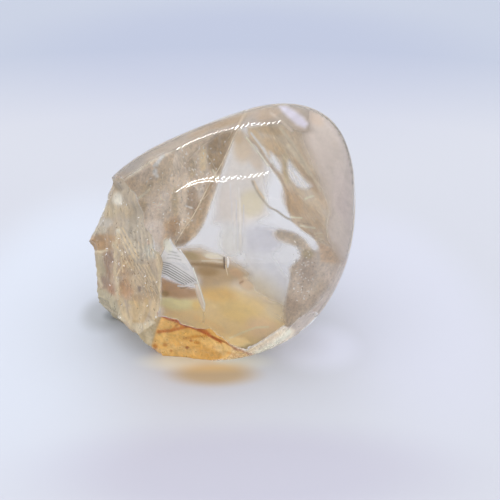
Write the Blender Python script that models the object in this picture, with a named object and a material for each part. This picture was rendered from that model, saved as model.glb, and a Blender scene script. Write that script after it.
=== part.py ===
"""A rutilated quartz freeform: one stone of see-through quartz, ground and polished to soft
flats, with a cut base to stand on and its left side left broken, in scoops, ledges and pits.

Run with: blender --background --python part.py. Blender's metres, +Z up, front towards -Y.
The origin is on the base, under the stone's middle."""

import math

import bmesh
import bpy
import numpy as np
from mathutils import Vector, noise

MM = 0.001

# Driving dimensions, in millimetres. Distances are from the stone's middle.
MIDDLE_HEIGHT = 28.0  # of the middle above the cut base
SOFTNESS = 12.0  # how tightly the flats round into each other: a higher number is tighter

# The polished flats: the way each one faces and its distance.
POLISHED_FLATS = (
    ((1.00, 0.00, 0.00), 33.7),  # right flank
    ((0.87, 0.21, 0.45), 39.6),  # right shoulder
    ((0.50, 0.37, 0.78), 47.0),  # crown
    ((0.05, 0.42, 0.91), 35.8),  # top
    ((-0.42, 0.38, 0.82), 25.9),  # long slope down to the left
    ((-0.80, 0.25, 0.54), 32.0),  # left shoulder
    ((-1.00, 0.00, 0.00), 40.0),  # left flank, all broken away
    ((0.00, -0.91, 0.42), 25.5),  # front face
    ((-0.55, -0.80, 0.25), 28.5),  # front face, left half
    ((0.55, -0.80, 0.25), 29.0),  # front face, right half
    ((0.05, -0.55, 0.83), 32.2),  # brow above the front face
    ((0.00, -0.97, -0.22), 26.3),  # front foot
    ((0.00, -0.42, -0.91), 34.2),  # under the front
    ((0.87, -0.21, -0.45), 32.1),  # right heel
    ((0.50, -0.37, -0.78), 32.8),  # bevel under the right
    ((0.00, 0.98, -0.20), 25.0),  # window at the back
    ((0.55, 0.70, 0.45), 30.4),  # back, upper right
    ((-0.55, 0.72, 0.42), 28.5),  # back, upper left
    ((0.80, 0.58, -0.15), 30.0),  # back, lower right
    ((-0.80, 0.58, -0.10), 34.0),  # back, lower left
    ((0.00, 0.60, 0.80), 31.8),  # back slope
    ((-0.50, -0.37, -0.78), 40.0),  # under the left, all broken away
)

# The breaks: the way each hollow faces, its nearest distance, the radius of its curve and how
# rough it is, from 0 to 1.
BREAKS = (
    ((-0.79, -0.61, 0.05), 26.1, 170.0, 1.0),  # broad scoop at the front
    ((-0.885, -0.45, -0.08), 28.15, 40.0, 0.9),  # lumps left of the front scoop
    ((-0.93, 0.06, 0.33), 30.4, 80.0, 0.7),  # under the left shoulder
    ((-0.985, 0.02, -0.16), 34.6, 60.0, 1.0),  # left side
    ((-0.80, 0.58, 0.05), 29.6, 45.0, 0.8),  # behind the left side, upper
    ((-0.72, 0.55, -0.42), 32.3, 45.0, 0.9),  # behind the left side, lower
    ((-0.68, -0.38, -0.63), 33.7, 70.0, 0.9),  # undercut below the left side
    ((-0.155, -0.86, -0.48), 28.1, 200.0, 0.3),  # stained chip at the front foot
    ((0.45, -0.75, -0.48), 31.3, 200.0, 0.2),  # bevelled chip at the right foot
    ((-0.99, -0.05, -0.12), 33.4, 3.0, 0.3),  # notch in the left outline
    ((-0.86, -0.47, 0.21), 29.6, 7.0, 0.3),  # nick at the head of the front scoop
    ((-0.62, -0.68, -0.40), 30.6, 6.0, 0.3),  # nick low on the front scoop
    ((-0.90, 0.30, -0.30), 32.4, 8.0, 0.4),  # bite in the left side
)

# The relief of a break, in millimetres.
LEDGE_SIZE = 11.0  # across one ledge
LEDGE_STRETCH = 1.8  # how much longer than that a ledge is, up and down
LEDGE_DEPTH = 4.0  # from the highest swell to the lowest
LEDGE_TREADS = 4.0  # treads in that depth
RISER_SHARE = 0.3  # of each tread's step that is its riser
STRIKE_BELOW = 26.0  # how far below a break's middle the blow fell that its ribs ring
RIB_SPACING = 4.3
RIB_HEIGHT = 0.1
PIT_SIZE = 6.5  # between pits
PIT_REACH = 0.4  # of that spacing that one pit covers
PIT_DEPTH = 1.2
RELIEF_MARGIN = 4.0  # how far above the polished surface a break's relief is still worked out

# The mesh.
WHOLE_SUBDIVISIONS = 5  # of the icosphere that the stone is shaped from
CROSSING_STEPS = 7  # halvings that find where an edge crosses a ridge
WELD = 0.03  # points this near become one, in millimetres


def unit(way):
    way = np.array(way, float)
    return way / np.linalg.norm(way)


def polished_reach(ways):
    """How far the polished surface is along each way: the flats, each rounding into the next."""
    total = np.zeros(len(ways))
    for facing, distance in POLISHED_FLATS:
        total += np.maximum(ways @ unit(facing) / distance, 0.0) ** SOFTNESS
    return total ** (-1.0 / SOFTNESS)


def hollow_reach(ways, facing, distance, radius):
    """How far the near side of a sphere outside the stone is along each way, or infinity."""
    to_centre = distance + radius
    along = ways @ unit(facing) * to_centre
    inside = along**2 - (to_centre**2 - radius**2)
    met = (inside > 0) & (along > 0)
    return np.where(met, along - np.sqrt(np.maximum(inside, 0.0)), np.inf)


def ledges(place):
    """A slow swell cut into treads with short risers, from about -0.5 to 0.5. It is drawn out
    along the stone's height, so that the risers run mostly up and down."""
    drawn_out = Vector((place.x, place.y, place.z / LEDGE_STRETCH))
    swell = noise.fractal(drawn_out / LEDGE_SIZE, 1.0, 2.0, 2) * 0.5 * LEDGE_TREADS
    tread = math.floor(swell)
    riser = min((swell - tread) / RISER_SHARE, 1.0)
    return (tread + riser) / LEDGE_TREADS


def pits(place):
    """Small round hollows, from 0 between them to 1 at the middle of each."""
    nearest = noise.voronoi(place / PIT_SIZE)[0][0]
    return max(0.0, 1.0 - nearest / PIT_REACH) ** 0.7


def relief(place, from_strike, roughness):
    """How far a break stands out from its hollow's curve, in millimetres."""
    ribs = RIB_HEIGHT * math.sin(2 * math.pi * from_strike / RIB_SPACING)
    rough = LEDGE_DEPTH * ledges(place) + ribs - PIT_DEPTH * pits(place)
    return roughness * rough


def surfaces_along(ways):
    """The polished surface and every break along each way, a row for each surface."""
    polished = polished_reach(ways)
    rows = [polished]
    for facing, distance, radius, roughness in BREAKS:
        reach = hollow_reach(ways, facing, distance, radius)
        strike = Vector(unit(facing) * distance - (0, 0, STRIKE_BELOW))
        for i in np.flatnonzero(reach < polished + RELIEF_MARGIN):
            place = Vector(ways[i] * reach[i])
            reach[i] += relief(place, (place - strike).length, roughness)
        rows.append(reach)
    return np.array(rows)


def crossing(one, other, first, second):
    """How far from one way to the other surface number first gives place to number second."""
    low, high = 0.0, 1.0
    for _ in range(CROSSING_STEPS):
        middle = (low + high) / 2
        rows = surfaces_along(unit(one + (other - one) * middle)[None])[:, 0]
        if rows[first] < rows[second]:
            low = middle
        else:
            high = middle
    return (low + high) / 2


def settle_on_ridges(bm, ways):
    """Moves the nearer end of each edge that crosses a ridge onto the ridge, so that the mesh's
    own edges follow the sharp lines between the surfaces."""
    nearest = surfaces_along(ways).argmin(axis=0)
    moves = {}
    for edge in bm.edges:
        a, b = edge.verts[0].index, edge.verts[1].index
        if nearest[a] == nearest[b]:
            continue
        share = crossing(ways[a], ways[b], nearest[a], nearest[b])
        place = unit(ways[a] + (ways[b] - ways[a]) * share)
        mover, moved_by = (a, share) if share < 0.5 else (b, 1.0 - share)
        if mover not in moves or moved_by < moves[mover][0]:
            moves[mover] = (moved_by, place)
    for mover, (_, place) in moves.items():
        ways[mover] = place
    return ways


def ways_of(bm):
    bm.verts.index_update()
    return np.array([v.co.normalized()[:] for v in bm.verts])


def shape_stone():
    """The stone as a mesh in metres: an icosphere, finer where the stone is broken, with each
    of its points moved out to the surface along its own way."""
    bm = bmesh.new()
    bmesh.ops.create_icosphere(bm, subdivisions=WHOLE_SUBDIVISIONS, radius=1.0)
    broken = surfaces_along(ways_of(bm)).argmin(axis=0) > 0
    rough_edges = [e for e in bm.edges if broken[e.verts[0].index] or broken[e.verts[1].index]]
    bmesh.ops.subdivide_edges(bm, edges=rough_edges, cuts=1, use_grid_fill=True)
    bmesh.ops.triangulate(bm, faces=bm.faces)
    ways = settle_on_ridges(bm, ways_of(bm))
    reach = surfaces_along(ways).min(axis=0)
    for vert, way, distance in zip(bm.verts, ways, reach):
        vert.co = Vector(way * distance + (0, 0, MIDDLE_HEIGHT)) * MM
    cut_base(bm)
    mesh = bpy.data.meshes.new("rutilated_quartz")
    bm.to_mesh(mesh)
    bm.free()
    return mesh


def cut_base(bm):
    """Cuts the stone off flat at the floor and closes the cut with one flat face."""
    geometry = bm.verts[:] + bm.edges[:] + bm.faces[:]
    bmesh.ops.bisect_plane(bm, geom=geometry, dist=WELD * MM, plane_no=(0, 0, -1), clear_outer=True)
    rim = [edge for edge in bm.edges if edge.is_boundary]
    bmesh.ops.contextual_create(bm, geom=rim)
    bmesh.ops.remove_doubles(bm, verts=bm.verts, dist=WELD * MM)
    bmesh.ops.recalc_face_normals(bm, faces=bm.faces)


def quartz_material():
    material = bpy.data.materials.new("smoky_quartz")
    material.use_nodes = True
    surface = material.node_tree.nodes["Principled BSDF"]
    surface.inputs["Base Color"].default_value = (0.86, 0.78, 0.66, 1.0)
    surface.inputs["Roughness"].default_value = 0.05
    surface.inputs["Metallic"].default_value = 0.0
    surface.inputs["IOR"].default_value = 1.544
    surface.inputs["Transmission Weight"].default_value = 0.9
    return material


def main():
    for obj in list(bpy.data.objects):
        bpy.data.objects.remove(obj)
    collection = bpy.data.collections.new("rutilated_quartz_freeform")
    bpy.context.scene.collection.children.link(collection)
    mesh = shape_stone()
    mesh.materials.append(quartz_material())
    mesh.shade_smooth()
    mesh.set_sharp_from_angle(angle=math.radians(30))
    collection.objects.link(bpy.data.objects.new("rutilated_quartz", mesh))


main()
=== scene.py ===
import math

import bmesh
import bpy
import numpy as np
from mathutils import Matrix, Vector, kdtree, noise
from numpy.lib.stride_tricks import sliding_window_view


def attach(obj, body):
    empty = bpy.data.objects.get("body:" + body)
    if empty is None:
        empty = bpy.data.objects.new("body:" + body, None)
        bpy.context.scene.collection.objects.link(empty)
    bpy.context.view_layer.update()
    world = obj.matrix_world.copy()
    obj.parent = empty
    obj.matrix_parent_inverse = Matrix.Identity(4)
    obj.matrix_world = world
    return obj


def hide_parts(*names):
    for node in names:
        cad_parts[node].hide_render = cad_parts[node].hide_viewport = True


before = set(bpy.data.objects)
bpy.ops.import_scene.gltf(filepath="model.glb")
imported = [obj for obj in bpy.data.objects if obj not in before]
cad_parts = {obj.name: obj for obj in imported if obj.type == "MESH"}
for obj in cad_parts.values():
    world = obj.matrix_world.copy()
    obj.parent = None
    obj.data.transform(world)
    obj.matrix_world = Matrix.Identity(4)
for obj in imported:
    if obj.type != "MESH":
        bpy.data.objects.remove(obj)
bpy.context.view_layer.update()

mm = 0.001

# The stone's form, in millimetres from its middle. Each polished flat has the way it faces and
# its distance. Each break has the way its hollow faces, its nearest distance, the radius of its
# curve and how rough it is.
stone = {
    "middleHeight": 28.0,
    "softness": 12.0,
    "typicalReach": 30.0,  # from the middle to the polish, roughly
    "flats": {
        "rightFlank": ((1.00, 0.00, 0.00), 33.7),
        "rightShoulder": ((0.87, 0.21, 0.45), 39.6),
        "crown": ((0.50, 0.37, 0.78), 47.0),
        "top": ((0.05, 0.42, 0.91), 35.8),
        "longSlope": ((-0.42, 0.38, 0.82), 25.9),
        "leftShoulder": ((-0.80, 0.25, 0.54), 32.0),
        "leftFlank": ((-1.00, 0.00, 0.00), 40.0),
        "frontFace": ((0.00, -0.91, 0.42), 25.5),
        "frontLeft": ((-0.55, -0.80, 0.25), 28.5),
        "frontRight": ((0.55, -0.80, 0.25), 29.0),
        "brow": ((0.05, -0.55, 0.83), 32.2),
        "frontFoot": ((0.00, -0.97, -0.22), 26.3),
        "underFront": ((0.00, -0.42, -0.91), 34.2),
        "rightHeel": ((0.87, -0.21, -0.45), 32.1),
        "underRight": ((0.50, -0.37, -0.78), 32.8),
        "backWindow": ((0.00, 0.98, -0.20), 25.0),
        "backUpperRight": ((0.55, 0.70, 0.45), 30.4),
        "backUpperLeft": ((-0.55, 0.72, 0.42), 28.5),
        "backLowerRight": ((0.80, 0.58, -0.15), 30.0),
        "backLowerLeft": ((-0.80, 0.58, -0.10), 34.0),
        "backSlope": ((0.00, 0.60, 0.80), 31.8),
        "underLeft": ((-0.50, -0.37, -0.78), 40.0),
    },
    "breaks": {
        "frontScoop": ((-0.79, -0.61, 0.05), 26.1, 170.0, 1.0),
        "leftLumps": ((-0.885, -0.45, -0.08), 28.15, 40.0, 0.9),
        "underShoulder": ((-0.93, 0.06, 0.33), 30.4, 80.0, 0.7),
        "leftSide": ((-0.985, 0.02, -0.16), 34.6, 60.0, 1.0),
        "behindUpper": ((-0.80, 0.58, 0.05), 29.6, 45.0, 0.8),
        "behindLower": ((-0.72, 0.55, -0.42), 32.3, 45.0, 0.9),
        "undercut": ((-0.68, -0.38, -0.63), 33.7, 70.0, 0.9),
        "stainedChip": ((-0.155, -0.86, -0.48), 28.1, 200.0, 0.3),
        "footBevel": ((0.45, -0.75, -0.48), 31.3, 200.0, 0.2),
        "notch": ((-0.99, -0.05, -0.12), 33.4, 3.0, 0.3),
        "headNick": ((-0.86, -0.47, 0.21), 29.6, 7.0, 0.3),
        "lowNick": ((-0.62, -0.68, -0.40), 30.6, 6.0, 0.3),
        "sideBite": ((-0.90, 0.30, -0.30), 32.4, 8.0, 0.4),
    },
    "ledgeSize": 11.0,
    "ledgeStretch": 1.8,  # ledges are this much longer up and down
    "ledgeDepth": 4.0,
    "ledgeTreads": 4.0,
    "riserShare": 0.3,
    "strikeBelow": 26.0,
    "ribSpacing": 4.3,
    "ribHeight": 0.1,
    "pitSize": 6.5,
    "pitReach": 0.4,
    "pitDepth": 1.2,
    "reliefMargin": 4.0,
    "subdivisions": 7,  # of the icosphere, about half a millimetre to an edge
    "crossingSteps": 9,
    "hackle": ((1.7, 0.16), (0.8, 0.08), (0.42, 0.04)),  # size and height of the fine breaks
    "hackleFrom": 0.6,  # below the polish, where the fine breaks reach their full height
    "leastHackle": 0.35,  # share of that height on a break with no roughness
    "breakEdge": 0.25,  # below the polish, where a break is rough and chalky in full
    "chalk": {"stainedChip": 1.0, "footBevel": 0.9},
    "rawChalk": 0.9,  # how far from clear the other breaks are
    # the scuffed foot between the stained chip and the bevel: its outline and soft edge in pixels
    "scuffed": ((222, 341), (236, 347), (246, 350.5), (262, 341), (284, 326), (294, 331), (292, 341),
                (276, 353), (262, 361), (222, 362)),
    "scuffedEdge": 1.4,
    "scuffedFacing": 0.15,  # how far a face with scuffs is turned to the camera at least
    "scuffedBreak": 0.6,
    "scuffedChalk": 0.92,
    "weld": 0.01,
    "sharpFrom": 26.0,  # degrees between faces that meet in a sharp edge
}

# The camera. Places on the stone are given below as it sees them, in pixels of its frame.
eye = {
    "target": (0.0, 0.0, 28.0),  # mm
    "elevation": 25.0,  # degrees
    "distance": 220.0,  # mm
    "nearest": 45.0,  # mm before the target at which the stone may start
    "farthest": 50.0,  # and mm past it
    "pixelsPerMm": 3.85,  # at the target
    "targetPixel": (224.0, 232.0),
    "frame": 500.0,
    "stonePixels": (84.0, 96.0, 364.0, 368.0),
    "mapStep": 2.5,
    "sensor": 36.0,
}

# How a ray is followed through the stone, in millimetres.
tracing = {
    "longestIn": 60.0,  # from the polished form to the first place inside the broken stone
    "longestOn": 90.0,  # from there until it leaves
    "longestWhole": 110.0,  # through the polished form
    "onFrom": 0.6,  # how far inside the broken stone the way on starts
    "wholeFrom": 0.3,
    "firstStep": 0.1,
    "thinnest": 3.8,  # on a shorter way nothing has room
    "nearGap": 1.2,  # what lies in the stone keeps this far from where the ray enters
    "farGap": 2.4,  # and this far, and a little more, from where it leaves
}
quartzIor = 1.544


def unit(way):
    way = np.array(way, float)
    return way / np.linalg.norm(way)


flatFacings = np.array([unit(facing) for facing, _ in stone["flats"].values()])
flatDistances = np.array([distance for _, distance in stone["flats"].values()])
breakNames = list(stone["breaks"])


def polishedReach(ways):
    near = np.maximum(ways @ flatFacings.T / flatDistances, 0.0)
    return (near ** stone["softness"]).sum(axis=1) ** (-1.0 / stone["softness"])


def hollowReach(ways, facing, distance, radius):
    toCentre = distance + radius
    along = ways @ unit(facing) * toCentre
    inside = along**2 - (toCentre**2 - radius**2)
    met = (inside > 0) & (along > 0)
    return np.where(met, along - np.sqrt(np.maximum(inside, 0.0)), np.inf)


def ledges(place):
    drawnOut = Vector((place.x, place.y, place.z / stone["ledgeStretch"]))
    swell = noise.fractal(drawnOut / stone["ledgeSize"], 1.0, 2.0, 2) * 0.5 * stone["ledgeTreads"]
    tread = math.floor(swell)
    return (tread + min((swell - tread) / stone["riserShare"], 1.0)) / stone["ledgeTreads"]


def pits(place):
    nearest = noise.voronoi(place / stone["pitSize"])[0][0]
    return max(0.0, 1.0 - nearest / stone["pitReach"]) ** 0.7


def relief(place, fromStrike, roughness):
    ribs = stone["ribHeight"] * math.sin(2 * math.pi * fromStrike / stone["ribSpacing"])
    rough = stone["ledgeDepth"] * ledges(place) + ribs - stone["pitDepth"] * pits(place)
    return roughness * rough


def surfacesAlong(ways):
    # a row for the polished surface and one for each break, as distances along each way
    polished = polishedReach(ways)
    rows = [polished]
    for facing, distance, radius, roughness in stone["breaks"].values():
        reach = hollowReach(ways, facing, distance, radius)
        strike = Vector(unit(facing) * distance - (0, 0, stone["strikeBelow"]))
        for i in np.flatnonzero(reach < polished + stone["reliefMargin"]):
            place = Vector(ways[i] * reach[i])
            reach[i] += relief(place, (place - strike).length, roughness)
        rows.append(reach)
    return np.array(rows)


def unitRows(rows):
    return rows / np.linalg.norm(rows, axis=1, keepdims=True)


# The way in through the polished surface: where a ray from the camera enters the stone, how it
# bends there and where it would leave again.
elevation = math.radians(eye["elevation"])
eyeRight = np.array([1.0, 0.0, 0.0])
eyeUp = np.array([0.0, math.sin(elevation), math.cos(elevation)])
eyeBack = np.array([0.0, -math.cos(elevation), math.sin(elevation)])
toMiddle = np.array([0.0, 0.0, stone["middleHeight"]])
eyePlace = np.array(eye["target"]) + eyeBack * eye["distance"] - toMiddle


def outsidePolish(places):
    # below zero inside the polished form, in rough millimetres
    near = np.maximum(places @ flatFacings.T / flatDistances, 0.0)
    total = (near ** stone["softness"]).sum(axis=-1) ** (1.0 / stone["softness"])
    return (total - 1.0) * stone["typicalReach"]


def outsideWhole(places):
    # the same for the stone with its base and without its breaks
    return np.maximum(outsidePolish(places), -places[..., 2] - stone["middleHeight"])


def outsideBy(places):
    # the same for the stone with its breaks and its base, without their relief
    by = outsideWhole(places)
    for facing, distance, radius, _ in stone["breaks"].values():
        centre = unit(facing) * (distance + radius)
        by = np.maximum(by, radius - np.linalg.norm(places - centre, axis=-1))
    return by


def polishNormals(places, step=0.05):
    sides = [outsidePolish(places + axis) - outsidePolish(places - axis) for axis in np.eye(3) * step]
    return unitRows(np.stack(sides, axis=-1))


def raysThrough(pixels):
    pixels = np.atleast_2d(np.array(pixels, float))
    offset = (pixels - eye["targetPixel"]) / eye["pixelsPerMm"]
    onPlane = offset[:, :1] * eyeRight - offset[:, 1:] * eyeUp
    return unitRows(onPlane + np.array(eye["target"]) - toMiddle - eyePlace)


def firstChange(form, starts, ways, near, far, entering, steps=90, halvings=12):
    # how far along each way it first goes into the form, or out of it, and whether it does
    reach = np.linspace(near, far, steps)
    by = form(starts[:, None] + ways[:, None] * reach[None, :, None])
    changed = by < 0 if entering else by > 0
    first = changed.argmax(axis=1)
    met = changed[np.arange(len(first)), first]
    high = reach[first]
    low = np.maximum(high - (reach[1] - reach[0]), near)
    for _ in range(halvings):
        middle = (low + high) / 2
        past = form(starts + ways * middle[:, None])
        past = past < 0 if entering else past > 0
        high = np.where(past, middle, high)
        low = np.where(past, low, middle)
    return high, met


def bend(ways, normals, ratio):
    straight = -(ways * normals).sum(axis=1)
    left = np.maximum(1.0 - ratio**2 * (1.0 - straight**2), 0.0)
    return unitRows(ratio * ways + (ratio * straight - np.sqrt(left))[:, None] * normals)


def meetPolish(pixels):
    # where the rays through these pixels meet the polished form, and whether they do
    ways = raysThrough(pixels)
    starts = np.broadcast_to(eyePlace, ways.shape)
    near, far = eye["distance"] - eye["nearest"], eye["distance"] + eye["farthest"]
    reach, met = firstChange(outsidePolish, starts, ways, near, far, True)
    return starts + ways * reach[:, None], ways, met


def smooth(values, low, high):
    share = np.clip((values - low) / (high - low), 0.0, 1.0)
    return share * share * (3.0 - 2.0 * share)


def traceWays(pixels):
    # for each pixel: where the ray meets the polished form, its way on in the stone, how far it
    # goes before it is well inside the stone, before it is nearly out, and before it leaves the
    # polished form, and whether there is any such way
    entry, ways, met = meetPolish(pixels)
    inward = bend(ways, polishNormals(entry), 1.0 / quartzIor)
    near, entered = firstChange(outsideBy, entry, inward, 0.0, tracing["longestIn"], True)
    onward = entry + inward * (near + tracing["onFrom"])[:, None]
    first = tracing["firstStep"]
    depth, left = firstChange(outsideBy, onward, inward, first, tracing["longestOn"], False)
    within = entry + inward * tracing["wholeFrom"]
    whole, _ = firstChange(outsideWhole, within, inward, first, tracing["longestWhole"], False)
    isOpen = (met & entered & left & (depth > tracing["thinnest"])).astype(float)
    nearest, farthest = near + tracing["nearGap"], near + depth - tracing["farGap"]
    return np.column_stack([entry, inward, nearest, farthest, whole, isOpen])


def evened(values, isOpen, reach=2):
    # the lowest values nearby, smoothed: nowhere above the values themselves
    size = (2 * reach + 1, 2 * reach + 1)
    lowest = np.where(isOpen > 0, values, np.inf)
    lowest = sliding_window_view(np.pad(lowest, reach, constant_values=np.inf), size).min(axis=(2, 3))
    nearby = sliding_window_view(np.pad(lowest, reach, constant_values=np.inf), size)
    known = np.isfinite(nearby)
    total = np.where(known, nearby, 0.0).sum(axis=(2, 3))
    return np.where(known.any(axis=(2, 3)), total / np.maximum(known.sum(axis=(2, 3)), 1), values)


def pixelGrid(left, top, right, bottom, step):
    # the pixels of a grid, row by row, and its numbers of rows and columns
    gridX, gridY = np.meshgrid(np.arange(left, right, step), np.arange(top, bottom, step))
    return np.stack([gridX.ravel(), gridY.ravel()], axis=1), *gridX.shape


def gridFaces(rows, columns):
    corner = np.arange(rows * columns).reshape(rows, columns)
    corners = [corner[:-1, :-1], corner[1:, :-1], corner[1:, 1:], corner[:-1, 1:]]
    return np.stack(corners, axis=-1).reshape(-1, 4)


def makeWayMap():
    pixels, rows, columns = pixelGrid(*eye["stonePixels"], eye["mapStep"])
    table = traceWays(pixels).reshape(rows, columns, -1)
    isOpen = table[:, :, 9]
    table[:, :, 6] = -evened(-table[:, :, 6], isOpen)
    table[:, :, 7] = evened(table[:, :, 7], isOpen)
    return table


wayMap = makeWayMap()


def insideAt(pixels, shares, exactly=False, slack=0.001):
    # Places in metres that the camera sees at these pixels, at a share of the way through the
    # stone, and whether there are any. They are read from the map, between four of its points,
    # and traced again where only some of the four are open, or everywhere if asked for exactly.
    pixels = np.atleast_2d(np.array(pixels, float))
    spot = (pixels - eye["stonePixels"][:2]) / eye["mapStep"]
    spot = np.clip(spot, 0.0, np.array([wayMap.shape[1], wayMap.shape[0]]) - 1 - slack)
    corner = spot.astype(int)
    x, y = corner.T
    right, down = (spot - corner).T[:, :, None]
    mixed = ((wayMap[y, x] * (1 - right) + wayMap[y, x + 1] * right) * (1 - down)
             + (wayMap[y + 1, x] * (1 - right) + wayMap[y + 1, x + 1] * right) * down)
    unsure = (mixed[:, 9] > slack) & (exactly | (mixed[:, 9] < 1 - slack))
    if unsure.any():
        exact = traceWays(pixels[unsure])
        mixed[unsure] = np.hstack([exact[:, :6], mixed[unsure, 6:8], exact[:, 8:]])
    nearest, farthest, whole = mixed[:, 6:9].T
    depths = np.broadcast_to(shares, len(mixed)) * whole
    depths = np.clip(depths, nearest, np.maximum(farthest, nearest))
    places = mixed[:, :3] + mixed[:, 3:6] * depths[:, None] + toMiddle
    return places * mm, mixed[:, 9] > 1 - 10 * slack


def pixelsOf(places):
    # the pixels where the camera sees places on the stone, in millimetres from its middle
    offset = places - eyePlace
    scale = eye["distance"] * eye["pixelsPerMm"] / -(offset @ eyeBack)
    flat = np.stack([offset @ eyeRight, -(offset @ eyeUp)], axis=1)
    return np.array(eye["targetPixel"]) + flat * scale[:, None]


# How paint goes on: the palest and darkest there is, how much of a line's width is solid, and
# the shares of an oval's half sizes where it starts to fade and is gone.
brush = {"darkest": 0.01, "palest": 0.97, "lineCore": 0.2, "ovalFade": (0.45, 1.15)}


def lineDistances(pixels, start, end):
    start, run = np.array(start, float), np.array(end, float) - start
    share = np.clip(((pixels - start) @ run) / (run @ run), 0.0, 1.0)
    return np.linalg.norm(pixels - start - share[:, None] * run, axis=1)


def strokeCover(pixels, points, width):
    nearest = np.min([lineDistances(pixels, *ends) for ends in zip(points, points[1:])], axis=0)
    return 1.0 - smooth(nearest, brush["lineCore"] * width, width)


def patchCover(pixels, centre, half, turn):
    # 1 in the middle of an oval patch, 0 outside
    angle = math.radians(turn)
    along = np.array([math.cos(angle), math.sin(angle)])
    across = np.array([-math.sin(angle), math.cos(angle)])
    offset = pixels - np.array(centre)
    out = np.hypot(offset @ along / half[0], offset @ across / half[1])
    return 1.0 - smooth(out, *brush["ovalFade"])


# Layers of paint. A layer is an area (its outline), an oval (middle, half sizes, turn) or a line,
# all in pixels, then its softness or width, the colour it should look, from 0 to 255, and how
# opaque it is. A layer with no colour clears what is under it.
def paintFor(colour, lift):
    # the screen's colour as light, less the light that is sheen, and the paint that sends it back
    light = ((np.array(colour) / 255.0 + 0.055) / 1.055) ** 2.4
    return np.clip((light - lift[3]) * lift[:3], brush["darkest"], brush["palest"])


def insideOutline(pixels, outline):
    # distance in pixels to the outline, above zero inside
    corners = np.array(outline, float)
    following = np.roll(corners, -1, axis=0)
    nearest = np.min([lineDistances(pixels, *ends) for ends in zip(corners, following)], axis=0)
    odd = np.zeros(len(pixels), bool)
    for (x0, y0), (x1, y1) in zip(corners, following):
        spans = (y0 > pixels[:, 1]) != (y1 > pixels[:, 1])
        with np.errstate(divide="ignore", invalid="ignore"):
            meets = (x1 - x0) * (pixels[:, 1] - y0) / (y1 - y0) + x0
        odd ^= spans & (pixels[:, 0] < meets)
    return np.where(odd, nearest, -nearest)


def coverOf(kind, shape, soft, pixels):
    if kind == "area":
        return smooth(insideOutline(pixels, shape), -soft, soft)
    if kind == "oval":
        return patchCover(pixels, *shape)
    return strokeCover(pixels, shape, soft)


def paintLayers(layers, pixels, lift):
    # the colour at each pixel and how far it covers what lies under all the layers
    colours = np.zeros((len(pixels), 3))
    cover = np.zeros(len(pixels))
    lift = np.array(lift)
    for kind, shape, soft, colour, opacity in layers:
        share = coverOf(kind, shape, soft, pixels) * opacity
        if colour is None:
            cover *= 1.0 - share
            continue
        total = share + cover * (1.0 - share)
        mix = (share / np.maximum(total, 1e-6))[:, None]
        colours += (paintFor(colour, lift) - colours) * mix
        cover = total
    return colours, cover


def fanLines(count, first, last, colour, opacity, width):
    # a fan of lines from the first one to the last
    lines = []
    for share in np.linspace(0.0, 1.0, count):
        line = np.array(first) * (1.0 - share) + np.array(last) * share
        lines.append(("line", [tuple(point) for point in line], width, colour, opacity))
    return lines


# Short forms for building materials and node trees.
def newMaterial(name):
    material = bpy.data.materials.new(name)
    material.use_nodes = True
    return material, material.node_tree, material.node_tree.nodes["Principled BSDF"]


def feed(tree, socket, value):
    if isinstance(value, bpy.types.NodeSocket):
        tree.links.new(value, socket)
    else:
        socket.default_value = value


def addNode(tree, kind, values=(), **settings):
    node = tree.nodes.new(kind)
    for key, value in settings.items():
        setattr(node, key, value)
    for key, value in dict(values).items():
        feed(tree, node.inputs[key], value)
    return node


def byIdentifier(sockets):
    return {socket.identifier: socket for socket in sockets}


def ramp(tree, factor, stops):
    node = addNode(tree, "ShaderNodeValToRGB", {"Fac": factor})
    elements = node.color_ramp.elements
    while len(elements) < len(stops):
        elements.new(0.5)
    for element, (place, colour) in zip(elements, stops):
        element.position = place
        element.color = (*colour, 1.0)
    return node.outputs["Color"]


def maths(tree, operation, first, second=0.0, clamp=False):
    values = {0: first, 1: second}
    return addNode(tree, "ShaderNodeMath", values, operation=operation, use_clamp=clamp).outputs["Value"]


def vectorMaths(tree, operation, values, output="Vector"):
    return addNode(tree, "ShaderNodeVectorMath", values, operation=operation).outputs[output]


def scaled(tree, vector, scale):
    return vectorMaths(tree, "SCALE", {0: vector, "Scale": scale})


def between(tree, value, low, high, toLow=0.0, toHigh=1.0, **settings):
    names = {"Value": value, "From Min": low, "From Max": high, "To Min": toLow, "To Max": toHigh}
    return addNode(tree, "ShaderNodeMapRange", names, **settings).outputs["Result"]


def mixColours(tree, share, first, second):
    node = addNode(tree, "ShaderNodeMix", data_type="RGBA")
    sockets = byIdentifier(node.inputs)
    for name, value in (("Factor_Float", share), ("A_Color", first), ("B_Color", second)):
        feed(tree, sockets[name], (*value, 1.0) if isinstance(value, tuple) else value)
    return byIdentifier(node.outputs)["Result_Color"]


def noiseAt(tree, vector, scale, detail=4.0, roughness=0.6, distortion=0.0):
    # mostly between a third and two thirds
    values = {"Vector": vector, "Scale": scale, "Detail": detail}
    values.update({"Roughness": roughness, "Distortion": distortion})
    return addNode(tree, "ShaderNodeTexNoise", values).outputs["Fac"]


def placeOf(tree, source="Object", stretch=(1, 1, 1), turn=0.0):
    # turned by degrees about Z, then drawn out by stretch along the turned axes
    coordinates = addNode(tree, "ShaderNodeTexCoord").outputs[source]
    values = {"Vector": coordinates, "Scale": stretch, "Rotation": (0, 0, math.radians(turn))}
    return addNode(tree, "ShaderNodeMapping", values, vector_type="TEXTURE").outputs["Vector"]


def attribute(tree, name, output="Fac"):
    return addNode(tree, "ShaderNodeAttribute", attribute_name=name).outputs[output]


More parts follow.
